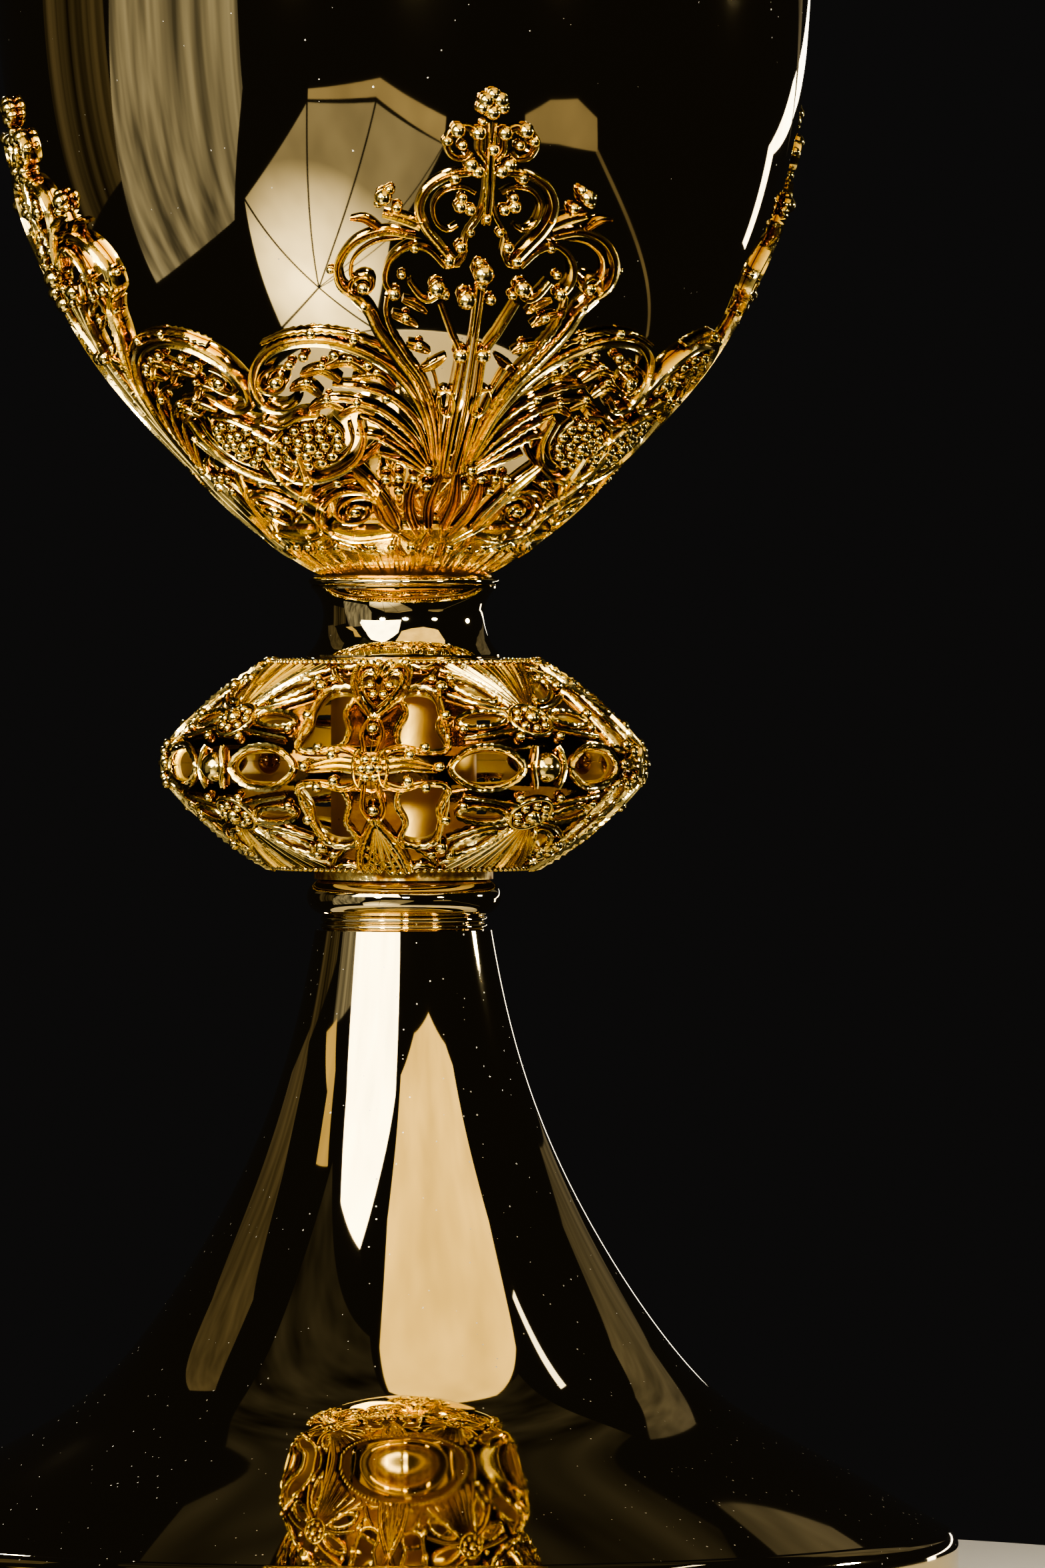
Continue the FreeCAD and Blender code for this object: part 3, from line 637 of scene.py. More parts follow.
class Finish:
    """A material being put together: its tree, its shader and the link function."""

    def __init__(self, name):
        self.material = bpy.data.materials.new(name)
        self.material.use_nodes = True
        self.tree = self.material.node_tree
        self.shader = self.tree.nodes["Principled BSDF"]
        self.shader.inputs["Metallic"].default_value = 1.0
        self.link = self.tree.links.new

    def place(self, name, **values):
        """Places a shared effect with its own values, and gives its results."""
        node = self.tree.nodes.new("ShaderNodeGroup")
        node.node_tree = bpy.data.node_groups[name]
        for label, value in values.items():
            node.inputs[label].default_value = value
        return node.outputs

    def blend(self, factor, first, second):
        """Goes from the first colour to the second as the factor grows."""
        node = self.tree.nodes.new("ShaderNodeMix")
        node.data_type = "RGBA"
        self.link(factor, node.inputs["Factor"])
        for socket, colour in ((node.inputs[6], first), (node.inputs[7], second)):
            if isinstance(colour, tuple):
                socket.default_value = colour
            else:
                self.link(colour, socket)
        return node.outputs[2]

    def colour(self, result):
        self.link(result, self.shader.inputs["Base Color"])

    def roughness(self, result):
        self.link(result, self.shader.inputs["Roughness"])

    def bump(self, height, depth, strength=1.0):
        """Gives the surface this height, depth in mm."""
        node = self.tree.nodes.new("ShaderNodeBump")
        node.inputs["Distance"].default_value = depth * MM
        node.inputs["Strength"].default_value = strength
        self.link(height, node.inputs["Height"])
        self.link(node.outputs["Normal"], self.shader.inputs["Normal"])


def rgba(colour):
    """The colour as an opaque one for a socket."""
    return (*colour, 1.0)


DUST_COLOUR = (0.82, 0.76, 0.62)


def polished_gold(colours, name="Polished gold", dust=0.05):
    """Mirror plate with faint buffing marks, duller patches and specks of dust."""
    finish = Finish(name)
    marks = finish.place("Buffing marks", Scale=46.0)
    specks = finish.place("Dust specks", Scale=1100.0, Amount=dust)
    warm = finish.blend(marks["Dull"], rgba(colours.polished), rgba([0.93 * c for c in colours.polished]))
    finish.colour(finish.blend(specks["Mask"], warm, rgba(DUST_COLOUR)))
    dull = ramp(finish.tree, marks["Dull"], 0.0, 1.0, 0.025, 0.06)
    finish.roughness(calculate(finish.tree, "MULTIPLY_ADD", specks["Mask"], 0.5, dull))
    finish.bump(marks["Height"], 0.02, 0.12)
    return finish.material


def cast_gold(colours, name="Cast gold", plain=False):
    """Cast metal: bright on its ridges, painted shade of deep amber in its hollows, satin where its relief is
    2.
    """
    finish = Finish(name)
    grain = finish.place("Casting grain", Scale=2000.0)
    if plain:
        patches = noise(finish.tree, 300.0)
        wear_and_shade = ramp(finish.tree, patches.outputs["Fac"], 0.35, 0.65, 0.3, 1.0)
        rough = ramp(finish.tree, wear_and_shade, 0.0, 1.0, 0.2, 0.13)
        height = grain["Height"]
    else:
        raised = finish.tree.nodes.new("ShaderNodeAttribute")
        raised.attribute_name = "relief"
        patches = noise(finish.tree, 420.0, 3.0)
        # painted shade: low relief (feet of strands, undersides of beads, outer faces of sheets) takes the
        # dark hollow colour, mixed with random wear patches
        shifted = calculate(finish.tree, "MULTIPLY_ADD", patches.outputs["Fac"], 0.5, raised.outputs["Fac"])
        wear_and_shade = ramp(finish.tree, shifted, 0.4, 1.15)
        satin = ramp(finish.tree, raised.outputs["Fac"], 1.2, 1.8, 0.0, 0.3)
        rough = calculate(finish.tree, "ADD", satin, ramp(finish.tree, wear_and_shade, 0.0, 1.0, 0.08, 0.16))
        shown = ramp(finish.tree, wear_and_shade, 0.0, 0.6, 0.25, 1.0)
        height = calculate(finish.tree, "MULTIPLY", grain["Height"], shown)
    # dark hollow colour as painted shade on low relief; in the plain kind only random darker patches
    finish.colour(finish.blend(wear_and_shade, rgba(colours.hollow_shade_and_grime), rgba(colours.cast)))
    finish.roughness(rough)
    finish.bump(height, 0.05, 0.6)
    return finish.material


def satin_gold(colours):
    """Turned and lightly brushed round the axis."""
    finish = Finish("Satin gold")
    specks = finish.place("Dust specks", Scale=900.0, Amount=0.1)
    patches = noise(finish.tree, 180.0, 3.0)
    shade = finish.blend(patches.outputs["Fac"], rgba([0.9 * c for c in colours.satin]), rgba(colours.satin))
    finish.colour(finish.blend(specks["Mask"], shade, rgba(colours.hollow_shade_and_grime)))
    finish.roughness(ramp(finish.tree, patches.outputs["Fac"], 0.3, 0.7, 0.3, 0.42))
    finish.bump(finish.place("Casting grain", Scale=1400.0)["Height"], 0.03, 0.4)
    return finish.material


def rough_gold(colours):
    """Gold on metal left rough, dark in its pits."""
    finish = Finish("Rough gold")
    grain = finish.place("Casting grain", Scale=1600.0)
    patches = noise(finish.tree, 500.0, 4.0)
    wear_and_shade = ramp(finish.tree, patches.outputs["Fac"], 0.4, 0.65)
    finish.colour(finish.blend(wear_and_shade, rgba(colours.hollow_shade_and_grime), rgba(colours.cast)))
    finish.roughness(ramp(finish.tree, wear_and_shade, 0.0, 1.0, 0.5, 0.26))
    finish.bump(grain["Height"], 0.12, 0.8)
    return finish.material


def bare_brass(colours):
    """Unplated brass, spotted and a little dull."""
    finish = Finish("Bare brass")
    grain = finish.place("Casting grain", Scale=1200.0)
    specks = finish.place("Dust specks", Scale=700.0, Amount=0.2)
    dark = rgba([0.6 * c for c in colours.brass])
    finish.colour(finish.blend(specks["Mask"], rgba(colours.brass), dark))
    finish.roughness(ramp(finish.tree, grain["Height"], 0.6, 1.8, 0.2, 0.42))
    finish.bump(grain["Height"], 0.03, 0.3)
    return finish.material


def floor_paint(colour):
    """Matt paint with faint clouds."""
    finish = Finish("Pale floor")
    finish.shader.inputs["Metallic"].default_value = 0.0
    cloud = noise(finish.tree, 14.0, 4.0)
    finish.colour(finish.blend(cloud.outputs["Fac"], rgba(colour), rgba([0.93 * c for c in colour])))
    finish.roughness(ramp(finish.tree, cloud.outputs["Fac"], 0.3, 0.7, 0.45, 0.6))
    return finish.material


def named(name):
    """The finish of this name."""
    return bpy.data.materials[name]


# ---------------------------------------------------------------- properties

class CiboriumColours(bpy.types.PropertyGroup):
    polished: FloatVectorProperty(name="Polished gold", description="Colour of the polished plate",
                                  subtype="COLOR", size=3, default=(0.95, 0.77, 0.42), min=0, max=1)
    cast: FloatVectorProperty(name="Cast gold", description="Colour of the ridges of the cast parts",
                              subtype="COLOR", size=3, default=(1.0, 0.79, 0.31), min=0, max=1)
    satin: FloatVectorProperty(name="Satin gold", description="Colour of the brushed tube inside the knob",
                               subtype="COLOR", size=3, default=(0.86, 0.56, 0.14), min=0, max=1)
    # painted shade for the hollows and sheets of the cast parts, and the dark colour of specks and patches on
    # the satin and rough gold
    hollow_shade_and_grime: FloatVectorProperty(name="Hollows", description="Colour deep in the cast parts",
                                subtype="COLOR", size=3, default=(0.31, 0.145, 0.018), min=0, max=1)
    brass: FloatVectorProperty(name="Bare brass", description="Colour of the unplated fixings",
                               subtype="COLOR", size=3, default=(0.80, 0.60, 0.28), min=0, max=1)


class CiboriumCalyx(bpy.types.PropertyGroup):
    turn: FloatProperty(name="Turn", description="Angle of the first finial from the front",
                        subtype="ANGLE", default=math.radians(13.0))
    relief: FloatProperty(name="Relief", description="Height of the main bands above the bowl",
                          unit="LENGTH", default=0.0015)
    count: IntProperty(name="Finials", description="Number of finials round the bowl", default=4, min=1)


class CiboriumKnob(bpy.types.PropertyGroup):
    turn: FloatProperty(name="Turn", description="Angle of the first ball bead from the front",
                        subtype="ANGLE", default=math.radians(37.5))
    wall: FloatProperty(name="Wall", description="Thickness of the pierced wall", unit="LENGTH",
                        default=0.0011)
    beading: IntProperty(name="Beading", description="Beads in each ring on the equator", default=112, min=3)


class CiboriumLid(bpy.types.PropertyGroup):
    arches: IntProperty(name="Arches", description="Arches in the lid's gallery", default=32, min=3)


class CiboriumStage(bpy.types.PropertyGroup):
    floor_radius: FloatProperty(name="Floor radius", description="Radius of the round floor",
                                unit="LENGTH", default=0.125)
    floor: FloatVectorProperty(name="Floor", description="Colour of the floor", subtype="COLOR", size=3,
                               default=(0.66, 0.64, 0.60), min=0, max=1)
    light: FloatProperty(name="Light", description="Brightness of the soft panels", default=1.0, min=0)
    distance: FloatProperty(name="Distance", description="From the camera to the axis", unit="LENGTH",
                            default=2.0)


GROUPS = {"ciborium_colours": CiboriumColours, "ciborium_calyx": CiboriumCalyx, "ciborium_knob": CiboriumKnob,
          "ciborium_lid": CiboriumLid, "ciborium_stage": CiboriumStage}


# ---------------------------------------------------------------- operators

class CIBORIUM_OT_finishes(bpy.types.Operator):
    """Make the shared effects and the metals, and give them to the CAD parts that stay"""
    bl_idname = "ciborium.finishes"
    bl_label = "Finishes"

    def execute(self, context):
        colours = context.scene.ciborium_colours
        dust_group()
        polish_group()
        grain_group()
        polished_gold(colours)
        polished_gold(colours, "Dusty gold", 0.16)
        cast_gold(colours)
        cast_gold(colours, "Plain cast gold", plain=True)
        satin_gold(colours)
        rough_gold(colours)
        bare_brass(colours)
        finishes = {"polished_gold": "Polished gold", "cast_gold": "Plain cast gold",
                    "rough_gold": "Rough gold", "bare_brass": "Bare brass"}
        for part in frame["record"]["subparts"]:
            node = frame["nodes"][part["node"]]
            node.data.materials.clear()
            node.data.materials.append(named(finishes[part["material_slot"]]))
        return {"FINISHED"}


class CIBORIUM_OT_foot(bpy.types.Operator):
    """Turn the bell foot, its rim band and the rings on its neck"""
    bl_idname = "ciborium.foot"
    bl_label = "Foot"

    def execute(self, context):
        _, rim, edge = extent("foot_rim_band")
        top = top_of("foot_shell")
        show_turned("foot_shell_smooth", VESSEL, "foot_shell", foot_side(), foot_side(1.0)[::-1],
                    (9.9, top - 2.0), (ROD_BORE, top - 2.0), (ROD_BORE, top), finish="Dusty gold",
                    steps=320)
        show_turned("foot_rim_smooth", VESSEL, "foot_rim_band", (edge - 3.0, 0.0),
                    bow((edge - 0.4, 0.0), (edge, 0.4), 0.12, 5), (edge, rim - 2.6),
                    bow((edge, rim - 2.6), (edge - 1.8, rim), 0.55, 12)[1:], (edge - 3.0, rim),
                    finish="Dusty gold", steps=320)
        low, _, reach = extent("bead_ring")
        waist = reach - 0.45
        show_turned("bead_ring_smooth", VESSEL, "bead_ring", (ROD_BORE, low), (waist, low),
                    (waist, low + 0.1), bow((waist, low + 0.1), (waist, low + 1.0), 0.44, 9)[1:],
                    (waist, low + 1.1), bow((waist, low + 1.1), (waist, low + 2.0), 0.44, 9),
                    (waist, low + 2.1), (ROD_BORE, low + 2.1))
        show_rounded_ring("torus_collar", ROD_BORE, 40)
        return {"FINISHED"}


class CIBORIUM_OT_neck(bpy.types.Operator):
    """Turn the reel between the knob and the cup, and the rings on its ends"""
    bl_idname = "ciborium.neck"
    bl_label = "Neck"

    def execute(self, context):
        low, high, end = extent("reel_neck")
        tall = high - low
        upper = 12.8
        waist = spline([(end, low + 0.4), (end - 1.35, low + 0.16 * tall), (10.6, low + 0.52 * tall),
                        (11.3, low + 0.84 * tall), (upper, high - 0.4)], 70)
        show_turned("reel_smooth", VESSEL, "reel_neck", (ROD_BORE, low), (end - 0.15, low), (end, low + 0.15),
                    waist, (upper, high - 0.15), (upper - 0.15, high), (ROD_BORE, high))
        show_rounded_ring("neck_ring", ROD_BORE)
        show_rounded_ring("calyx_seat_ring", SEAT_BORE)
        return {"FINISHED"}


class CIBORIUM_OT_cup(bpy.types.Operator):
    """Turn the polished bowl and its lip ring"""
    bl_idname = "ciborium.cup"
    bl_label = "Cup"

    def execute(self, context):
        low, high, radius = extent("cup_bowl")
        show_turned("cup_bowl_smooth", VESSEL, "cup_bowl", (0, low), bowl_side(), bowl_side(1.0)[::-1],
                    (0, low + 1.0), steps=320)
        show_turned("cup_lip_smooth", VESSEL, "cup_lip_ring",
                    bow((radius - 0.2, high - 2.4), (radius - 0.2, high), 1.19, 20))
        return {"FINISHED"}


# lengths in mm up the bowl as the calyx is drawn, and where they settle on it
DRAWN = (0, 10, 29, 50, 68, 90)
SETTLED = (0, 10, 28.6, 48.1, 66.2, 86.6)


def one_side(cast, relief, side, soft):
    """The band and bead tools for one side of a motif that is mirrored about its middle."""
    def band(path, width, height=1.0, form=RIB, ends=(soft, soft), pearls=0.0):
        cast.strand([(side * x, y) for x, y in path], width, height * relief, form, ends, False, 0.05, pearls)

    def bead(x, y, radius, lift=0.75):
        cast.bead(side * x, y, radius, lift)

    return band, bead


def finial(cast, relief):
    """One finial of the calyx, mirrored about its stem."""
    for side in (1, -1):
        band, bead = one_side(cast, relief, side, 0.7)
        band([(0.5, 24), (0.6, 36), (0.45, 48), (0.5, 57)], 0.75, 0.6, WIRE)
        band([(1.2, 24), (1.7, 38), (1.7, 46), (3.2, 50), (5.2, 54.6)], 1.0, 0.8, ends=(0.8, 0.9))
        bead(1.5, 46.2, 1.1)
        band([(1.6, 25), (2.9, 36), (4.4, 42), (5.6, 44.6)], 0.7, 0.65, WIRE)
        band([(2.2, 26), (3.9, 34), (6.4, 40.6), (9.8, 45.8), (12.8, 50.2), (14.5, 53.4), (16.6, 55.6)],
             1.9, 1.05, ends=(0.5, 0.8))
        band([(1.9, 26), (3.4, 35), (5.6, 41.2), (8.6, 46), (11, 50), (12.2, 53), (12.3, 55.4)], 0.9, 0.8,
             pearls=0.35)
        band([(9.4, 64.3), (13.4, 64.9), (17.2, 63.5), (19.2, 60.4), (18.7, 57.3), (16.5, 55.5)], 1.5, 1.0)
        band([(11.0, 63.9), (14.6, 63.3), (17.2, 61.2), (17.5, 58.6), (16.5, 57.4)], 0.7, 0.7, WIRE)
        band(spiral((15.6, 57.2), 1.9, 0.6, -40, 1.1), 0.9, 1.0)
        bead(15.6, 56.9, 0.95, 1.0)
        bead(15.3, 53.9, 0.8)
        bead(20.3, 59.3, 0.6)
        band([(14.2, 65.2), (16.2, 66.5), (18.2, 66.6)], 1.6, 1.0, LEAF, ends=(0.5, 0.3))
        band([(8.8, 65.7), (11.3, 66.7), (13.9, 67.4)], 1.7, 1.05, ends=(0.9, 0.7))
        bead(12.1, 68.2, 0.8, 1.0)
        bead(14.0, 69.8, 1.25, 0.8)
        bead(13.2, 70.8, 0.75, 0.9)
        bead(14.6, 68.8, 0.65, 1.2)
        band([(5.1, 60.0), (7.4, 62.3), (10.0, 62.9), (12.4, 60.9), (12.8, 57.9), (11.5, 55.8)], 1.15, 0.95)
        bead(11.4, 55.9, 0.95)
        bead(10.7, 58.6, 0.65)
        bead(9.3, 62.5, 0.7, 1.0)
        band([(9.6, 57.7), (8.0, 55.6), (6.6, 55.0), (5.2, 56.2)], 1.0, 0.8)
        bead(5.8, 56.8, 1.25)
        bead(4.6, 55.6, 0.7)
        band([(0.8, 73.4), (3.0, 73.4), (5.6, 72.9), (8.2, 71.0), (9.1, 68.0), (8.0, 65.3), (5.9, 62.8),
              (4.3, 60.9)], 1.65, 1.05, ends=(0.6, 0.8))
        bead(4.6, 60.7, 0.9)
        band([(1.8, 70.3), (3.6, 71.2), (6.0, 70.6), (7.3, 68.6), (6.8, 66.2), (5.2, 65.0), (3.9, 65.7)],
             0.8, 0.75)
        for x, y, radius in ((3.7, 68.3, 0.95), (2.3, 67.8, 0.85), (3.5, 69.6, 0.75)):
            bead(x, y, radius)
        band([(0.5, 73.5), (0.5, 70), (1.0, 67.2), (2.7, 64.2), (2.6, 62.0), (3.4, 60.2), (5.0, 59.9)], 0.9,
             0.85, pearls=0.3)
        bead(3.2, 62.6, 0.9)
        bead(2.0, 64.6, 0.65)
        band([(0.35, 65.8), (0.45, 70), (0.35, 76), (0.5, 80.6)], 0.8, 0.8, WIRE)
        band([(0.7, 75.2), (1.6, 76.6), (1.7, 78.6), (3.1, 79.9), (5.2, 79.4), (6.0, 77.6), (5.2, 75.8),
              (3.5, 75.4), (2.7, 76.4)], 1.25, 1.0)
        for x, y, radius in ((3.9, 77.3, 0.8), (1.8, 79.1, 1.1), (4.6, 79.5, 1.15), (5.9, 77.9, 0.85),
                             (1.6, 73.5, 0.95), (2.6, 74.5, 1.05), (4.6, 72.5, 0.9), (1.4, 82.8, 0.95),
                             (0.95, 83.9, 1.15)):
            bead(x, y, radius)
        for path in (((11.4, 52.8), (9.6, 52.0), (7.8, 51.0)), ((8.8, 48.0), (7.2, 47.3), (5.6, 46.5)),
                     ((6.2, 43.4), (4.8, 44.4), (3.4, 45.8)), ((10.2, 55.0), (8.4, 54.2), (6.8, 53.0))):
            band(path, 1.9, 0.9, LEAF, ends=(0.4, 0.25))
        bead(9.5, 52.4, 0.7, 1.2)
        bead(7.2, 47.8, 0.65, 1.2)
        cast.strand([(side * x, y) for x, y in oval((2.4, 37.4), 2.4, 1.1, 78)], 0.6, 0.8 * relief, WIRE,
                    closed=True)
    for x, y, radius in ((0, 84.7, 1.05), (0, 82.1, 1.1), (-1.2, 80.6, 0.6), (0.3, 76.7, 0.95),
                         (0.1, 59.0, 1.55), (-0.5, 60.3, 0.7), (-1.7, 55.2, 1.4), (1.6, 55.0, 0.8),
                         (0.2, 57.2, 0.8), (0, 66.6, 0.7)):
        cast.bead(x, y, radius, 0.75)


def crest(cast, relief):
    """The scrolling crest on both sides of a finial."""
    for side in (1, -1):
        band, bead = one_side(cast, relief, side, 0.6)
        band([(2.6, 27), (4.9, 35.5), (8.6, 41.8), (13.6, 46.2), (19.6, 48.6), (25.4, 48.2), (28.8, 45.4),
              (29.4, 41.2), (27.6, 37.4), (24.4, 36.5), (22.6, 38.2)], 2.3, 1.1, ends=(0.35, 0.5))
        band([(4.2, 36.5), (8.0, 43.6), (13.2, 47.9), (19.0, 50.0), (25.0, 49.8), (29.0, 48.0)], 0.8, 0.8,
             pearls=0.45)
        band(spiral((26.2, 41.6), 2.6, 0.7, 80, -1.2), 1.1, 1.0)
        bead(26.0, 41.4, 1.0, 0.9)
        fronds = (((3.0, 26.5), (5.6, 33.4), (9.4, 38.0), (13.6, 40.2), (18.0, 40.9)),
                  ((3.1, 25.9), (6.4, 31.4), (10.4, 35.6), (14.8, 37.8), (18.8, 38.2)),
                  ((3.2, 25.3), (6.9, 29.6), (10.4, 33.2), (13.4, 35.2)),
                  ((3.3, 24.7), (7.0, 28.0), (10.6, 30.8), (13.6, 31.6)),
                  ((3.2, 24.1), (6.6, 26.2), (10.0, 27.8)))
        for path in fronds:
            band(path, 1.05, 0.8, ends=(0.5, 0.5), pearls=0.2)
        lobes = (((9.6, 40.2), (12.2, 42.4), (15.4, 42.0)), ((13.2, 42.6), (16.2, 44.8), (19.6, 44.0)),
                 ((17.0, 41.6), (19.8, 43.4), (22.6, 42.6)), ((19.4, 38.8), (21.6, 40.6), (23.8, 40.0)),
                 ((11.6, 35.6), (14.2, 36.6), (16.4, 35.2)), ((16.0, 36.4), (18.4, 37.4), (20.6, 36.2)))
        for path in lobes:
            band(path, 2.1, 1.0, LEAF, ends=(0.4, 0.3))
            bead(path[1][0], path[1][1] + 0.9, 0.6, 1.2)
        for x, y in ((13.6, 44.4), (18.4, 46.2), (22.6, 45.8), (24.4, 44.4), (10.4, 38.3), (22.0, 49.9),
                     (16.0, 48.9)):
            bead(x, y, 0.75, 0.9)


def basket(cast, relief):
    """The lower scrolls, rosettes and leaves, down to the dense foot of the calyx."""
    for side in (1, -1):
        band, bead = one_side(cast, relief, side, 0.6)
        band([(13.4, 34.4), (12.4, 30.2), (13.2, 26.2), (16.4, 23.4), (20.4, 22.8), (24.0, 24.8)], 1.5, 1.0)
        band([(14.9, 33.6), (13.9, 29.8), (14.9, 26.8), (17.4, 24.9)], 0.7, 0.7, WIRE)
        for ring, (count, reach, radius) in enumerate(((1, 0.0, 1.05), (7, 2.0, 0.85), (13, 3.9, 0.85))):
            for step in range(count):
                angle = 2 * math.pi * step / count + 0.4 * ring
                cast.bead(side * (19.6 + reach * math.cos(angle)), 29.4 + reach * math.sin(angle), radius,
                          1.0 - 0.18 * ring, *SMALL)
        band([(27.6, 34.2), (24.6, 33.4), (22.2, 35.0), (19.4, 35.4)], 1.4, 1.0)
        band([(24.2, 32.8), (25.6, 29.6), (24.6, 26.2)], 1.5, 1.0, ends=(0.8, 0.3))
        band([(26.4, 27.2), (22.8, 22.2), (18.2, 18.6), (15.8, 16.6)], 1.9, 1.1)
        band([(23.4, 21.0), (20.6, 19.6), (18.6, 20.8)], 1.2, 0.9, LEAF)
        band([(13.4, 25.6), (10.0, 21.4), (7.2, 16.8), (5.0, 12.4)], 2.6, 1.1, LEAF, ends=(0.35, 0.5))
        band([(12.8, 24.0), (8.8, 18.8), (6.2, 14.0)], 0.7, 1.0, WIRE)
        band([(5.6, 11.4), (10.6, 10.6), (15.2, 12.8), (16.6, 16.6), (14.4, 20.2), (10.4, 20.4),
              (7.6, 17.6)], 1.3, 1.0)
        band(spiral((11.4, 16.6), 3.3, 0.7, 150, -1.6), 1.1, 1.0)
        bead(11.4, 16.6, 0.85, 1.1)
        leaves = ((2.2, ((0.9, 12), (1.7, 18), (1.1, 24.6))),
                  (2.2, ((1.9, 11), (4.2, 16.4), (4.6, 21.8), (3.3, 24.2))),
                  (2.0, ((2.8, 10), (7.2, 14.4), (8.9, 19.2), (8.2, 22.6))),
                  (2.2, ((9.6, 8.2), (13.2, 9.8), (14.2, 12.2))),
                  (2.4, ((6.8, 7.4), (9.4, 8.8), (11.0, 11.4))),
                  (2.2, ((3.2, 6.8), (4.8, 9.2), (4.8, 12.0))),
                  (1.9, ((0.9, 6.4), (1.2, 9.0), (0.8, 12.6))))
        for width, path in leaves:
            band(path, width, 1.05, LEAF, ends=(0.5, 0.25))
        for x, y in ((2.9, 24.8), (4.6, 23.0), (6.6, 23.2), (8.3, 22.9), (2.6, 21.4), (6.2, 20.6),
                     (14.8, 22.2)):
            bead(x, y, 0.75, 1.0)
        band([(16.6, 27.6), (15.4, 31.0), (17.4, 34.0)], 0.8, 0.6, WIRE)
        for path in (((9.6, 31.0), (11.2, 27.6), (14.0, 24.4)), ((12.0, 23.0), (15.4, 21.8), (17.6, 20.2))):
            band(path, 1.5, 0.9, LEAF, ends=(0.3, 0.4))


class CIBORIUM_OT_calyx(bpy.types.Operator):
    """Cast the openwork calyx: finials, crests, basket and gadrooned foot"""
    bl_idname = "ciborium.calyx"
    bl_label = "Calyx"

    def execute(self, context):
        sizes = context.scene.ciborium_calyx
        skin = Skin(bowl_side())
        relief = sizes.relief / MM
        for name, motif, replaced in (("calyx_finials", finial, ["calyx"]), ("calyx_crests", crest, []),
                                      ("calyx_basket", basket, [])):
            cast = Casting(skin, sizes.turn, settle=(DRAWN, SETTLED))
            motif(cast, relief)
            show_round(name, cast, sizes.count, VESSEL, *replaced)
        lobe = Casting(skin, sizes.turn)
        lobe.strand([(0, 2.2), (0, 4.6), (0, 7.6)], 1.95, 1.1, LEAF, ends=(0.75, 0.9), lift=0.1)
        lobe.bead(0, 8.6, 0.7, 1.0, *SMALL)
        lobes_each = 10
        show_round("calyx_lobes", lobe, lobes_each * sizes.count, VESSEL)
        seat = top_of("calyx_seat_ring")
        bottom = 34     # points of the bowl's side that the calyx's foot lies on
        outer = bowl_side(-0.9)[8:bottom]
        inner = bowl_side(-0.05)[:bottom][::-1]
        foot = turned("calyx_foot", (SEAT_BORE, seat), (12.0, seat), (12.4, seat + 0.3), outer, inner,
                      (SEAT_BORE, foot_of("cup_bowl") - 0.05))
        show("calyx_foot", foot, named("Cast gold"), VESSEL, "cast_gold")
        return {"FINISHED"}


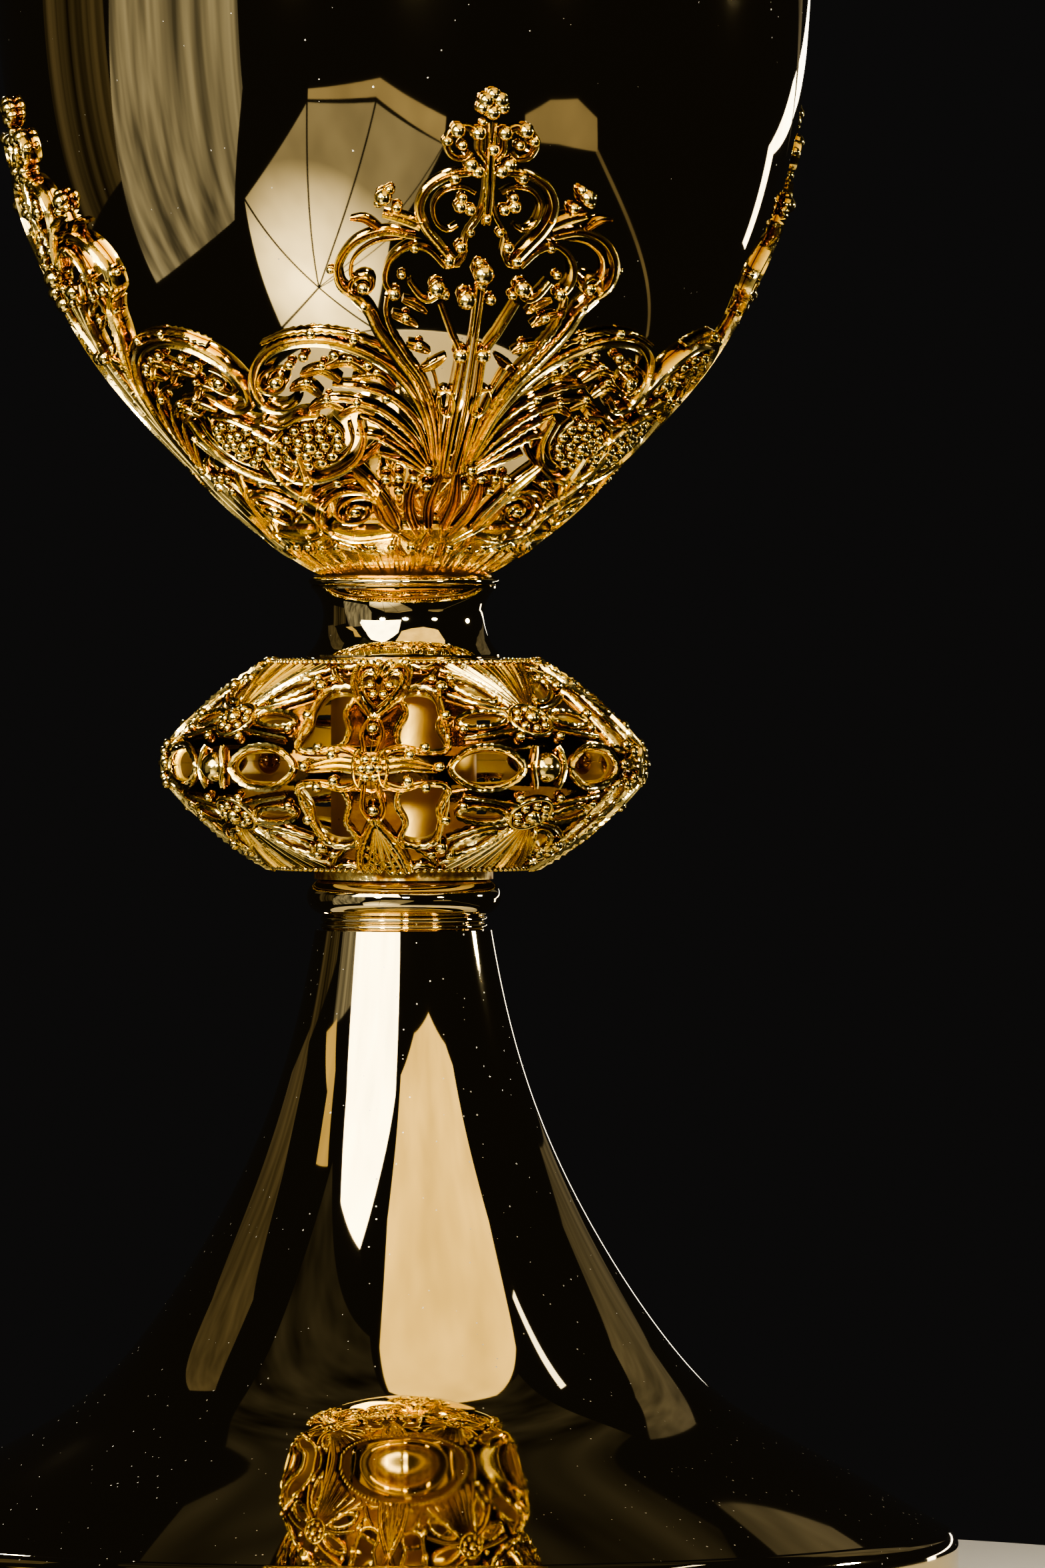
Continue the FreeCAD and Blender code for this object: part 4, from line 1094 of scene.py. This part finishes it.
class CIBORIUM_OT_knob(bpy.types.Operator):
    """Pierce and chase the knob: its two shells, ball beads, node mounts and inner tube"""
    bl_idname = "ciborium.knob"
    bl_label = "Knob"

    def execute(self, context):
        sizes = context.scene.ciborium_knob
        profile = knob_side()
        half = np.sum(np.hypot(*np.diff(profile, axis=0).T)) / 2
        skin = Skin(profile, half)
        for up, node in ((1, "knob_upper_shell"), (-1, "knob_lower_shell")):
            show_round(node + "_chased", self.shell(skin, half, sizes, up), 4, VESSEL, node)
        ball = Casting(skin, sizes.turn, by_angle=True)
        ball.bead(0, 0, 2.1, -0.15, 24, 16)
        for side in (1, -1):
            ball.strand([(side * 3.4, -2.6), (side * 4.6, 0), (side * 3.4, 2.6)], 1.0, 0.9)
        show_round("knob_balls", ball, 4, VESSEL, "knob_ball_beads")
        show_round("knob_nodes", self.node(skin, sizes.turn), 4, VESSEL, "knob_node_mounts")
        pearl = Casting(skin, by_angle=True)
        for end in (half - 0.45, 0.45 - half):
            pearl.bead(0, end, 0.48, 0.5, 6, 4)
        show_round("knob_rim_beads", pearl, sizes.beading, VESSEL)
        low, high, reach = extent("knob_inner_tube")
        show_turned("knob_tube_smooth", VESSEL, "knob_inner_tube", (reach - 1.2, low), (reach, low),
                    (reach, high), (reach - 1.2, high), finish="Satin gold")
        return {"FINISHED"}

    def shell(self, skin, half, sizes, up):
        """A quarter of one half of the knob: a pierced sheet with chased borders, ribs and rosettes."""
        cast = Casting(skin, sizes.turn, by_angle=True)
        border = 44.9       # degrees, just short of an eighth of a turn
        eye_middle = 16.4   # degrees from the ball bead to the middle of the opening beside it
        eye_half = 9.4
        sill = 0.02         # mm from the equator to the sheet's edge

        def flip(path):
            return [(x, up * y) for x, y in path]

        def petal(x, y, long, wide, tilt):
            scale = 180 / math.pi / skin.radius_at(y)
            return [(x + u * scale, y + w) for u, w in oval((0, 0), long, wide, tilt, 20)]

        eyes = []
        holes = []
        rims = []
        for side in (1, -1):
            eye = [(side * eye_middle + eye_half * math.cos(a), 2.75 * math.sin(a)
                    * (0.65 + 0.35 * math.sin(a))) for a in np.linspace(0, math.pi, 13)]
            tall = [(side * x, y) for x, y in ((26.2, 2.7), (27.6, 6.4), (26.2, 9.6), (27.4, 13.4),
                                               (33.2, 14.4), (38.2, 13.0), (36.6, 9.2), (38.8, 5.6),
                                               (37.6, 2.7), (31.8, 2.0))]
            high = petal(side * 13.6, 13.6, 3.6, 1.55, side * 38)
            low = petal(side * 15.0, 7.7, 3.7, 1.45, -side * 8)
            if up > 0:
                heart = petal(side * 39.6, 15.6, 1.7, 0.95, side * 70)
            else:
                heart = petal(side * 40.6, 15.8, 2.6, 0.8, side * 68)
            eyes.append(eye)
            holes += [smooth_path(tall, True)[::4].tolist(), high, low, heart]
            rims.append((eye, 1.15, 0.3, False))
            rims += [(outline, 1.0, 0.35, True) for outline in (tall, high, low)]
            rims.append((heart, 0.6, 0.2, True))
        steps = np.linspace(-border, border, 61)
        equator = [(x, sill) for x in steps if abs(abs(x) - eye_middle) > eye_half + 0.2]
        equator += [(x, max(y, sill)) for eye in eyes for x, y in eye]
        equator = sorted(set((round(x, 4), round(y, 4)) for x, y in equator))
        top = [(x, half - 0.1) for x in steps[::-1]]
        sides = np.linspace(0.6, half - 0.8, 20)
        rim = equator + [(border, y) for y in sides] + top + [(-border, y) for y in sides[::-1]]
        cast.sheet(flip(rim), [flip(hole) for hole in holes], -sizes.wall / MM, 0.12, (1.6, 0.8))
        for outline, width, pearls, closed in rims:
            cast.strand(flip(outline), width, 0.75, RIB, (0.9, 0.9), closed, 0.05, pearls, 0.45)
        for step in range(8):
            angle = 2 * math.pi * step / 8
            cast.bead(4.6 * math.cos(angle), up * (7.6 + 1.8 * math.sin(angle)), 0.72, 0.6, *SMALL)
        cast.bead(0, up * 7.6, 1.15, 0.6)
        cast.strand(flip(petal(0, 7.6, 3.2, 2.9, 0)), 0.8, 0.7, WIRE, closed=True)
        for spread in range(-3, 4):
            cast.strand(flip([(1.1 * spread, 10.6), (3.0 * spread, 14.6), (6.2 * spread, half - 1.6)]), 1.5,
                        0.85, LEAF, ends=(0.5, 0.9), lift=0.1)
        for side in (1, -1):
            for x, y, radius in ((24.6, 14.2, 0.95), (25.4, 8.4, 0.8), (20.4, 16.4, 0.7), (21.4, 5.8, 0.7),
                                 (27.0, 16.2, 0.7), (6.4, 4.4, 0.7)):
                cast.bead(side * x, up * y, radius, 0.6, *SMALL)
            for path in (((5.0, 10.2), (14, 16.2), (23.0, 18.4)), ((5.6, 9.4), (13.6, 10.4), (23.4, 12.6)),
                         ((5.2, 5.8), (12, 5.0), (21.8, 4.0)), ((24.0, 18.8), (28.6, 16.4), (33.0, 14.8)),
                         ((24.8, 16.0), (26.4, 11.0), (25.8, 6.0), (26.6, 2.6)),
                         ((24.0, 19.6), (29.4, 19.0), (34.8, 19.6))):
                cast.strand(flip([(side * x, y) for x, y in path]), 1.1, 0.8, RIB, (0.6, 0.6), False, 0.05,
                            0.25)
            if up > 0:
                heart = ((44.9, 7.6), (39.4, 11.6), (35.6, 15.8), (35.4, 18.6), (38.6, 20.0), (42.2, 19.0),
                         (44.9, 16.8))
                lining = ((44.9, 9.8), (40.8, 12.6), (38.0, 15.8), (38.4, 17.8), (41.0, 18.2), (43.8, 16.4))
                cast.strand([(side * x, y) for x, y in heart], 1.4, 1.2, RIB, (0.9, 0.9), False, 0.05, 0.35)
                cast.strand([(side * x, y) for x, y in lining], 0.8, 0.9, WIRE)
                for x, y in ((41.8, 14.6), (43.4, 12.6), (42.6, 19.8), (36.2, 20.2)):
                    cast.bead(side * x, y, 0.75, 0.7, *SMALL)
            else:
                arch = ((44.9, -8.2), (41.2, -12.0), (37.4, -16.2), (34.4, -20.6))
                cast.strand([(side * x, y) for x, y in arch], 1.4, 1.2, RIB, (0.9, 0.9), False, 0.05, 0.3)
                for end in (44.6, 41.4, 38.4):
                    cast.strand([(side * 44.7, -10.0), (side * (44.7 + end) / 2, -15.2),
                                 (side * end, -19.4)], 0.8, 0.9, WIRE)
                for x in (35.8, 39.2, 42.6):
                    cast.strand(spiral((side * x, -20.0), 1.9, 0.6, 0, side * 1.2, 12), 0.6, 0.9, WIRE)
        return cast

    def node(self, skin, turn):
        """The cast mount between two bead faces: a rosette with two leafy arms and a stem."""
        cast = Casting(skin, turn + QUARTER / 2, by_angle=True)
        for side in (1, -1):
            cast.strand([(side * 1.0, 0), (side * 8, 0.5), (side * 16, -0.2)], 2.6, 1.1, LEAF, (0.9, 0.4))
            cast.strand([(side * 1.5, 1.6), (side * 7, 2.6), (side * 12.4, 2.2)], 1.4, 1.0, LEAF, (0.8, 0.4))
            cast.strand([(side * 1.5, -1.6), (side * 7, -2.6), (side * 12.4, -2.0)], 1.4, 1.0, LEAF,
                        (0.8, 0.4))
            cast.strand(oval((side * 3.0, 0.0), 1.1, 2.2, 0), 0.7, 1.3, WIRE, closed=True)
            for x, y in ((16.4, 0.2), (13.0, 2.5), (13.2, -2.3), (9.4, 1.7), (9.0, -1.6)):
                cast.bead(side * x, y, 0.8, 0.8, *SMALL)
            cast.strand([(side * 1.6, 2.0), (side * 2.6, 5.0), (side * 0.6, 8.4)], 0.9, 1.1, RIB)
            cast.strand([(side * 1.6, -2.0), (side * 2.8, -6.0), (side * 0.6, -9.2)], 0.9, 1.1, RIB)
        for step in range(6):
            angle = 2 * math.pi * step / 6
            cast.bead(2.0 * math.cos(angle), 1.3 * math.sin(angle), 0.7, 1.2, *SMALL)
        cast.bead(0, 0, 0.9, 1.1)
        cast.bead(0, 5.6, 0.9, 0.8)
        cast.bead(0, -6.2, 0.9, 0.8)
        return cast


class CIBORIUM_OT_lid(bpy.types.Operator):
    """Turn the lid's dome, rings, plinth and knop, and pierce its gallery"""
    bl_idname = "ciborium.lid"
    bl_label = "Lid"

    def execute(self, context):
        base, top, edge = extent("lid_shell")
        show_turned("lid_shell_smooth", LID, "lid_shell", (53.4, base), (edge - 0.2, base),
                    (edge, base + 0.2), (edge, base + FLANGE - 0.2), (edge - 0.2, base + FLANGE),
                    dome_side(), (STUD_BORE, top), (STUD_BORE, top - 1.4), dome_side(1.0)[::-1], steps=320)
        low, high, reach = extent("lid_locating_ring")
        show_turned("lid_ring_smooth", LID, "lid_locating_ring", (reach - 0.8, low), (reach - 0.2, low),
                    (reach, low + 0.2), (reach, high), (reach - 1.0, high), (reach - 1.0, low + 0.2))
        low, _, reach = extent("lid_edge_wire")
        show_turned("lid_wire_smooth", LID, "lid_edge_wire", bow((reach, low), (reach - 2.4, low), 1.19, 20))
        low, high, _ = extent("lid_plinth")
        side = spline([(8.5, low + 0.8), (6.4, low + 1.6), (3.4, low + 4.2), (4.2, high - 0.8)], 50)
        show_turned("lid_plinth_smooth", LID, "lid_plinth", (STUD_BORE, low), (8.5, low), (8.5, low + 0.8),
                    side, (4.2, high), (STUD_BORE, high))
        low, high, _ = extent("lid_knop")
        tall = high - low
        side = spline([(3.8, low), (7.0, low + 0.04 * tall), (7.7, low + tall / 2), (7.0, high - 0.04 * tall),
                       (3.8, high)], 60)
        show_turned("lid_knop_smooth", LID, "lid_knop", (STUD_BORE, low), (3.8, low), side, (STUD_BORE, high))
        self.gallery(context.scene.ciborium_lid.arches)
        return {"FINISHED"}

    def gallery(self, arches):
        """A low fence of arches with pierced spandrels, standing on the flange."""
        low, high, reach = extent("lid_gallery")
        skin = Skin(np.array([(reach, low), (reach, (low + high) / 2), (reach, high)]))
        cast = Casting(skin)
        half = math.pi * reach / arches
        tall = high - low
        spring = tall - 2.7     # where an arch starts to curve
        crown = [(1.5 * math.cos(a), spring + 1.5 * math.sin(a)) for a in np.linspace(0.3, math.pi - 0.3, 7)]
        arch = [(1.5, 1.2), (1.5, spring)] + crown + [(-1.5, spring), (-1.5, 1.2)]
        spandrels = [(side * (half - 1.55), 0.52 * tall) for side in (1, -1)]
        across = np.linspace(-half, half, 9)
        rim = [(x, 0.0) for x in across] + [(x, tall) for x in across[::-1]]
        cast.sheet(rim, [arch] + [oval(middle, 1.25, 0.85, 90, 14) for middle in spandrels], -0.8, 0.0,
                   (0.8, 0.8))
        cast.strand(arch, 0.6, 0.4, WIRE, (1, 1))
        for middle in spandrels:
            cast.strand(oval(middle, 1.4, 1.0, 90, 14), 0.45, 0.35, WIRE, closed=True)
        cast.bead(0, tall - 0.1, 0.6, 0.0, *SMALL)
        show_round("lid_gallery_pierced", cast, arches, LID, "lid_gallery")


def panel(name, corners, colour, strength, middle=None, folds=(5.0, 5.0, 5.0), depth=0.15, glow=0.0):
    """A light panel of cloth through its corners in metres, seen only in reflections.

    With a middle it is cut by dark ribs that run there, and glow brightens it near the middle.
    folds is how often its cloth darkens along each axis, and depth how much.
    """
    mesh = bpy.data.meshes.new(name)
    if middle is None:
        mesh.from_pydata(corners, [], [tuple(range(len(corners)))])
    else:
        points = []
        faces = []
        centre = Vector(middle)
        hub = 0.02      # share of the way out where the cloth starts
        rib = 0.012     # share of an edge that each rib hides at its end
        for here, beside in zip(corners, corners[1:] + corners[:1]):
            a, b = Vector(here), Vector(beside)
            points += [centre.lerp((a + b) / 2, hub), a.lerp(b, rib), b.lerp(a, rib)]
            faces.append((len(points) - 3, len(points) - 2, len(points) - 1))
        mesh.from_pydata(points, [], faces)
    card = bpy.data.objects.new(name, mesh)
    bpy.context.scene.collection.objects.link(card)
    card.visible_camera = False
    lit = bpy.data.materials.new(name)
    lit.use_nodes = True
    tree = lit.node_tree
    tree.nodes.remove(tree.nodes["Principled BSDF"])
    light = tree.nodes.new("ShaderNodeEmission")
    spot = tree.nodes.new("ShaderNodeTexCoord")
    scaled = tree.nodes.new("ShaderNodeMapping")
    scaled.inputs["Scale"].default_value = folds
    tree.links.new(spot.outputs["Object"], scaled.inputs["Vector"])
    cloth = tree.nodes.new("ShaderNodeTexNoise")
    cloth.inputs["Scale"].default_value = 1.0
    tree.links.new(scaled.outputs["Vector"], cloth.inputs["Vector"])
    level = ramp(tree, cloth.outputs["Fac"], 0.3, 0.7, (1 - depth) * strength, (1 + depth) * strength)
    if glow:
        away = tree.nodes.new("ShaderNodeVectorMath")
        away.operation = "DISTANCE"
        tree.links.new(spot.outputs["Object"], away.inputs[0])
        away.inputs[1].default_value = middle
        level = calculate(tree, "MULTIPLY", level, ramp(tree, away.outputs["Value"], 0.04, 0.45, 1 + glow,
                                                        1.0))
    tree.links.new(level, light.inputs["Strength"])
    light.inputs["Color"].default_value = rgba(colour)
    tree.links.new(light.outputs["Emission"], tree.nodes["Material Output"].inputs["Surface"])
    mesh.materials.append(lit)


def row_light(angle, height, strength):
    """A small oval light at this angle round the axis and height, facing the object."""
    width = 0.13
    tall = 0.08
    distance = 0.95
    name = f"row_light_{angle}"
    light = bpy.data.lights.new(name, "AREA")
    light.shape = "ELLIPSE"
    light.size = width
    light.size_y = tall
    light.color = WHITE
    light.energy = strength * math.pi * width * tall
    lamp = bpy.data.objects.new(name, light)
    turn = math.radians(angle)
    lamp.location = (distance * math.sin(turn), -distance * math.cos(turn), height)
    aim = Vector((0, 0, 0.14)) - lamp.location
    lamp.rotation_euler = aim.to_track_quat("-Z", "Y").to_euler()
    bpy.context.scene.collection.objects.link(lamp)


# colours of the light panels
WHITE = (1.0, 0.97, 0.9)
CREAM = (1.0, 0.92, 0.76)
TAN = (1.0, 0.86, 0.62)
GOLDEN = (1.0, 0.76, 0.37)
DARK_ROOM = (0.008, 0.0076, 0.0074)

# (angle in degrees, height in metres, strength) of the small lights
ROW_LIGHTS = ((-74, 0.235, 50.0), (-30, 0.235, 60.0), (3, 0.235, 60.0), (45, 0.235, 12.0), (104, 0.235, 46.0),
              (196, 0.5, 40.0), (238, 0.5, 30.0))

# metres: how far the camera stands to the right of the axis, its height and the height that it aims at
CAMERA_SIDE = 0.0163
CAMERA_HEIGHT = 0.150
AIM_HEIGHT = 0.1106
LENS_PER_METRE = 167.3  # mm of focal length for each metre of distance


class CIBORIUM_OT_stage(bpy.types.Operator):
    """Make the pale floor, the soft panels round the object and the camera"""
    bl_idname = "ciborium.stage"
    bl_label = "Stage"

    def execute(self, context):
        scene = context.scene
        sizes = scene.ciborium_stage
        radius = sizes.floor_radius / MM
        top = -0.02     # mm, just under the foot
        floor = turned("floor", (0, top), (radius - 1.5, top), (radius, -1.5), (radius, -12), (0, -12),
                       steps=128)
        base = bpy.data.objects.new("floor", floor)
        scene.collection.objects.link(base)
        floor.materials.append(floor_paint(sizes.floor))
        self.panels(sizes.light)
        world = bpy.data.worlds.new("Dark room")
        world.use_nodes = True
        world.node_tree.nodes["Background"].inputs["Color"].default_value = rgba(DARK_ROOM)
        scene.world = world
        scene.view_settings.view_transform = "AgX"
        scene.view_settings.look = "AgX - High Contrast"
        scene.view_settings.exposure = 0.9
        self.camera(scene, sizes.distance)
        return {"FINISHED"}

    def panels(self, light):
        """The panels and small lights round the object, from low on the left to high and behind."""
        upright = (16.0, 16.0, 0.8)
        panel("left_panel", [(-0.80, 0.16, -0.34), (-0.68, -0.44, -0.30), (-0.68, -0.66, 0.0),
                             (-0.68, -0.66, 0.40), (-0.94, -0.10, 0.40)], WHITE, 0.11 * light,
              folds=upright, depth=0.6)
        panel("far_left_panel", [(-0.80, 0.46, -0.12), (-0.94, 0.02, -0.10), (-0.94, 0.02, 0.30),
                                 (-0.80, 0.46, 0.30)], TAN, 0.03 * light, folds=upright, depth=0.8)
        panel("umbrella", [(-0.42, -0.82, -0.04), (-0.12, -0.92, -0.05), (0.19, -0.87, -0.15),
                           (-0.05, -0.72, -0.40), (-0.12, -0.42, -0.64), (-0.47, -0.25, -0.58),
                           (-0.65, -0.52, -0.25)], CREAM, 0.14 * light, middle=(-0.35, -0.49, -0.53),
              glow=7.0)
        panel("left_flap", [(-0.42, -0.84, -0.015), (-0.10, -0.94, 0.0), (0.20, -0.89, -0.08),
                            (0.19, -0.87, -0.145), (-0.12, -0.93, -0.04), (-0.42, -0.83, -0.035)], TAN,
              0.16 * light)
        panel("right_flap", [(0.53, -0.74, -0.06), (0.62, -0.67, -0.02), (0.72, -0.58, -0.012),
                             (0.77, -0.48, -0.04), (0.765, -0.44, -0.11), (0.64, -0.60, -0.11),
                             (0.53, -0.72, -0.12)], TAN, 0.13 * light)
        panel("right_cord", [(0.765, -0.45, -0.10), (0.655, 0.37, -0.34), (0.655, 0.37, -0.352),
                             (0.765, -0.45, -0.115)], TAN, 0.08 * light)
        panel("high_softbox", [(0.40, -0.73, 0.44), (0.60, -0.58, 0.48), (0.64, -0.50, 0.50),
                               (0.60, -0.24, 0.70), (0.474, -0.10, 0.806), (0.30, -0.02, 0.88),
                               (0.12, -0.03, 0.92), (-0.05, -0.14, 0.91), (-0.111, -0.313, 0.885),
                               (-0.126, -0.54, 0.779), (-0.035, -0.744, 0.54), (0.167, -0.81, 0.49)],
              GOLDEN, 0.6 * light)
        panel("high_left", [(-0.84, -0.36, 0.24), (-0.66, -0.43, 0.534), (-0.50, -0.39, 0.715),
                            (-0.30, -0.44, 0.79), (-0.10, -0.74, 0.59), (-0.05, -0.92, 0.26)], WHITE,
              2.4 * light)
        panel("left_strip", [(-0.87, 0.02, 0.36), (-0.80, -0.17, 0.48), (-0.72, -0.163, 0.594),
                             (-0.64, -0.28, 0.62), (-0.78, -0.25, 0.46), (-0.84, -0.16, 0.37)], GOLDEN,
              0.3 * light)
        panel("left_haze", [(-0.62, 0.62, 0.24), (-0.78, 0.42, 0.27), (-0.81, 0.33, 0.33),
                            (-0.77, 0.22, 0.49), (-0.667, 0.123, 0.65), (-0.52, 0.26, 0.72),
                            (-0.537, 0.375, 0.653), (-0.646, 0.456, 0.488)], TAN, 0.05 * light,
              folds=upright, depth=0.3)
        panel("ceiling", [(-0.66, -0.34, 0.66), (-0.17, -0.34, 0.91), (0.0, 0.0, 0.97), (0.44, -0.05, 0.87),
                          (0.32, 0.56, 0.68), (-0.05, 0.42, 0.84), (-0.26, 0.49, 0.76), (-0.56, -0.02, 0.80)],
              CREAM, 0.02 * light, folds=(4.0, 9.0, 4.0), depth=0.6)
        panel("streak", [(0.56, -0.13, 0.75), (0.48, 0.14, 0.79), (0.50, 0.15, 0.77), (0.575, -0.12, 0.735)],
              WHITE, 1.2 * light)
        panel("right_rim_low", [(0.52, 2.95, 0.31), (0.78, 2.90, 0.29), (1.45, 2.62, 0.12),
                                (2.0, 2.23, -0.15), (1.87, 2.35, -0.51), (1.68, 2.49, -0.45),
                                (1.79, 2.41, -0.12), (1.05, 2.81, 0.13), (0.52, 2.95, 0.26)], WHITE,
              2.2 * light)
        panel("right_haze", [(0.35, 0.83, 0.154), (0.427, 0.776, 0.239), (0.479, 0.697, 0.358),
                             (0.33, 0.70, 0.471), (0.304, 0.581, 0.619), (0.50, 0.47, 0.62),
                             (0.613, 0.418, 0.558), (0.67, 0.479, 0.433), (0.60, 0.60, 0.30)], CREAM,
              0.06 * light, folds=upright, depth=0.3)
        for angle, height, strength in ROW_LIGHTS:
            row_light(angle, height, strength * light)

    def camera(self, scene, distance):
        """The camera in front of the object, a little above its knob."""
        lens = bpy.data.cameras.new("camera")
        lens.lens = LENS_PER_METRE * distance
        lens.sensor_width = 36.0
        camera = bpy.data.objects.new("camera", lens)
        camera.location = (CAMERA_SIDE, -distance, CAMERA_HEIGHT)
        aim = Vector((CAMERA_SIDE, 0, AIM_HEIGHT)) - camera.location
        camera.rotation_euler = aim.to_track_quat("-Z", "Y").to_euler()
        scene.collection.objects.link(camera)
        scene.camera = camera


STEPS = (CIBORIUM_OT_finishes, CIBORIUM_OT_foot, CIBORIUM_OT_neck, CIBORIUM_OT_cup, CIBORIUM_OT_calyx,
         CIBORIUM_OT_knob, CIBORIUM_OT_lid, CIBORIUM_OT_stage)


class CIBORIUM_PT_panel(bpy.types.Panel):
    """Sizes, colours and steps of the ciborium"""
    bl_idname = "CIBORIUM_PT_panel"
    bl_label = "Ciborium"
    bl_space_type = "VIEW_3D"
    bl_region_type = "UI"
    bl_category = "Ciborium"

    def draw(self, context):
        """Lists every size and colour, and then the steps in order."""
        for name, group in GROUPS.items():
            box = self.layout.box()
            for label in group.__annotations__:
                box.prop(getattr(context.scene, name), label)
        for step in STEPS:
            self.layout.operator(step.bl_idname)


CLASSES = (*GROUPS.values(), *STEPS, CIBORIUM_PT_panel)


def register():
    for item in CLASSES:
        bpy.utils.register_class(item)
    for name, group in GROUPS.items():
        setattr(bpy.types.Scene, name, PointerProperty(type=group))


def unregister():
    for name in GROUPS:
        delattr(bpy.types.Scene, name)
    for item in reversed(CLASSES):
        bpy.utils.unregister_class(item)


def main():
    """Makes the whole ciborium."""
    register()
    bpy.ops.ciborium.finishes()
    bpy.ops.ciborium.foot()
    bpy.ops.ciborium.neck()
    bpy.ops.ciborium.cup()
    bpy.ops.ciborium.calyx()
    bpy.ops.ciborium.knob()
    bpy.ops.ciborium.lid()
    bpy.ops.ciborium.stage()


if __name__ == "__main__":
    main()
